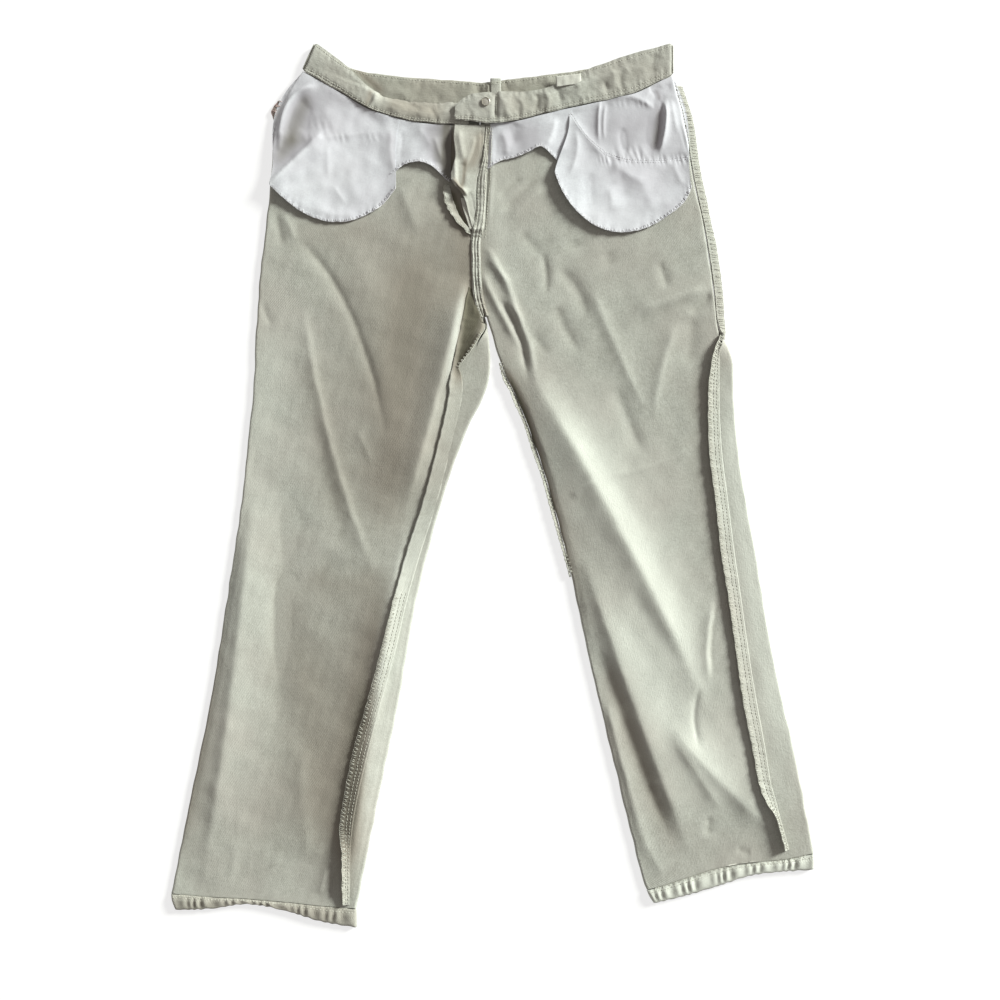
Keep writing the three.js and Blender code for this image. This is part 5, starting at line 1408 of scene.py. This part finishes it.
def makeThreads():
    sage, white = [], []
    for seed, (name, start, end) in enumerate((("left", 0.01, 0.99), ("right", 0.0, 0.99)), 101):
        for share in (0.05, 0.14):
            sage += stitchLine(downGrid(bands[name], share, start, end), "band", seed)
    sage += stitchLine(downGrid(bands["back"], 0.92), "band", 104)
    for name, piece in allowances.items():
        for share in (0.50, 0.78):
            line = downGrid(strips[name], share)
            sage += stitchLine(line[line[:, 1] < piece["sewnTo"]], "allowance", 105)
        edge = strips[name][:, 0]
        sage += sergedLine(edge[edge[:, 1] < piece["sewnTo"]], 1, "allowance", 106)
    edge = strips["inseam_allowance_left"][:, -1]
    sage += sergedLine(edge[(edge[:, 1] > 130) & (edge[:, 1] < 182)], -1, "fold", 117)
    sage += sergedLine(strips["outseam_allowance_right_upper"][:, -1], -1, "outseam", 107)
    sage += sergedLine(strips["inseam_allowance_right"][:, -1], 1, "inseam", 108)
    sage += stitchLine(downGrid(strips["outseam_allowance_right_upper"], 0.1), "outseam", 109)
    for side, hem in hems.items():
        sage += stitchLine(acrossGrid(hem["front"], 0.2, 0.02, 0.98), "hem", 110)
        sage += sergedLine(hem["front"][0, 8:-8], -1, "hem", 111)
    for x in (-5, -1):
        sage += stitchLine([[x, 401], [x - 2, 345], [x - 8, 275]], "rise", 112)
    for share in (0.2, 0.8):
        sage += stitchLine(downGrid(fly["rise_seam"], share), "rise", 113)
    sage += sergedLine(fly["fly_facing"][:, 0], 1, "facing", 114)
    sage += stitchLine([[4, 439], [3.6, 422], [3.4, 406]], "lap", 115)
    for y in (452, 449.5):
        sage += stitchLine([[-2, y], [8, y]], "loop", 116)
    for seed, name in enumerate(("bag_left", "bag_right", "stay_left", "stay_right"), 120):
        white += sergedLine(pocketing[name][:, -1], 1, "pocketing", seed)
    for shift in (0, 2.6):
        white += stitchLine([[85 + shift, 417], [94 + shift, 402], [107, 386 + shift], [126, 370 + shift],
                             [150, 362 + shift], [185, 361 + shift], [224, 366 + shift]], "bag", 124)
    return sage, white


sageBars, whiteBars = makeThreads()
pinkBars = sergedLine(strips["outseam_allowance_left"][:, -1], 1, "leftOutseam", 130)
threads = {
    "sage_threads": threadMesh("sage_threads", sageBars, materials["sageThread"]),
    "white_threads": threadMesh("white_threads", whiteBars, materials["whiteThread"]),
    "pink_threads": threadMesh("pink_threads", pinkBars, materials["pinkThread"]),
}
print("threads made", len(sageBars), len(whiteBars), len(pinkBars))

# ---- what stands for what

for node, piece in panels.items():
    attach(piece, "root")
    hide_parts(node)
for name, piece in threads.items():
    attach(piece, "root")

leastSide = 0.01  # of a sheet, in metres
for node, piece in panels.items():
    if node != "button_tack":
        width, length, area = sheetSizes[piece.name]
        width, length = max(width, leastSide), max(length, leastSide)
print(sheetSizes)

# ---- floor, light and camera

studio = {"floorSize": 6.0, "floorColour": (0.32, 0.32, 0.32), "floorGlow": 0.72, "sunStrength": 6.6,
          "sunAngle": 16, "sunAzimuth": 32, "sunHeight": 21, "sunColour": (0.97, 1.0, 0.95),
          "worldStrength": 0.30, "worldColour": (1.0, 0.94, 0.90)}
view = {"centreX": 7.9, "centreY": -16.9, "span": 1125.0, "lens": 50.0, "sensor": 36.0}


def makeStudio():
    bpy.ops.object.select_all(action="DESELECT")
    bpy.ops.mesh.primitive_plane_add(size=studio["floorSize"], location=(0, 0, 0))
    floor = bpy.context.object
    floor.name = "floor"
    material, _, shader, _ = newMaterial("floorPaint")
    shader.inputs["Base Color"].default_value = (*studio["floorColour"], 1)
    shader.inputs["Roughness"].default_value = 0.9
    shader.inputs["Emission Color"].default_value = (1, 1, 1, 1)
    shader.inputs["Emission Strength"].default_value = studio["floorGlow"]
    floor.data.materials.append(material)
    azimuth, height = math.radians(studio["sunAzimuth"]), math.radians(studio["sunHeight"])
    bpy.ops.object.light_add(type="SUN", location=(1, 1, 2), rotation=(0, math.pi / 2 - height, azimuth))
    sun = bpy.context.object
    sun.data.energy = studio["sunStrength"]
    sun.data.angle = math.radians(studio["sunAngle"])
    sun.data.color = studio["sunColour"]
    world = bpy.data.worlds.new("studio")
    bpy.context.scene.world = world
    world.use_nodes = True
    background = world.node_tree.nodes["Background"]
    background.inputs["Color"].default_value = (*studio["worldColour"], 1)
    background.inputs["Strength"].default_value = studio["worldStrength"]
    distance = view["span"] * view["lens"] / view["sensor"]
    bpy.ops.object.camera_add(location=(view["centreX"] * mm, view["centreY"] * mm, distance * mm))
    camera = bpy.context.object
    camera.data.lens = view["lens"]
    camera.data.sensor_width = view["sensor"]
    bpy.context.scene.camera = camera
    bpy.context.scene.view_settings.view_transform = "Standard"


makeStudio()
print("studio made")
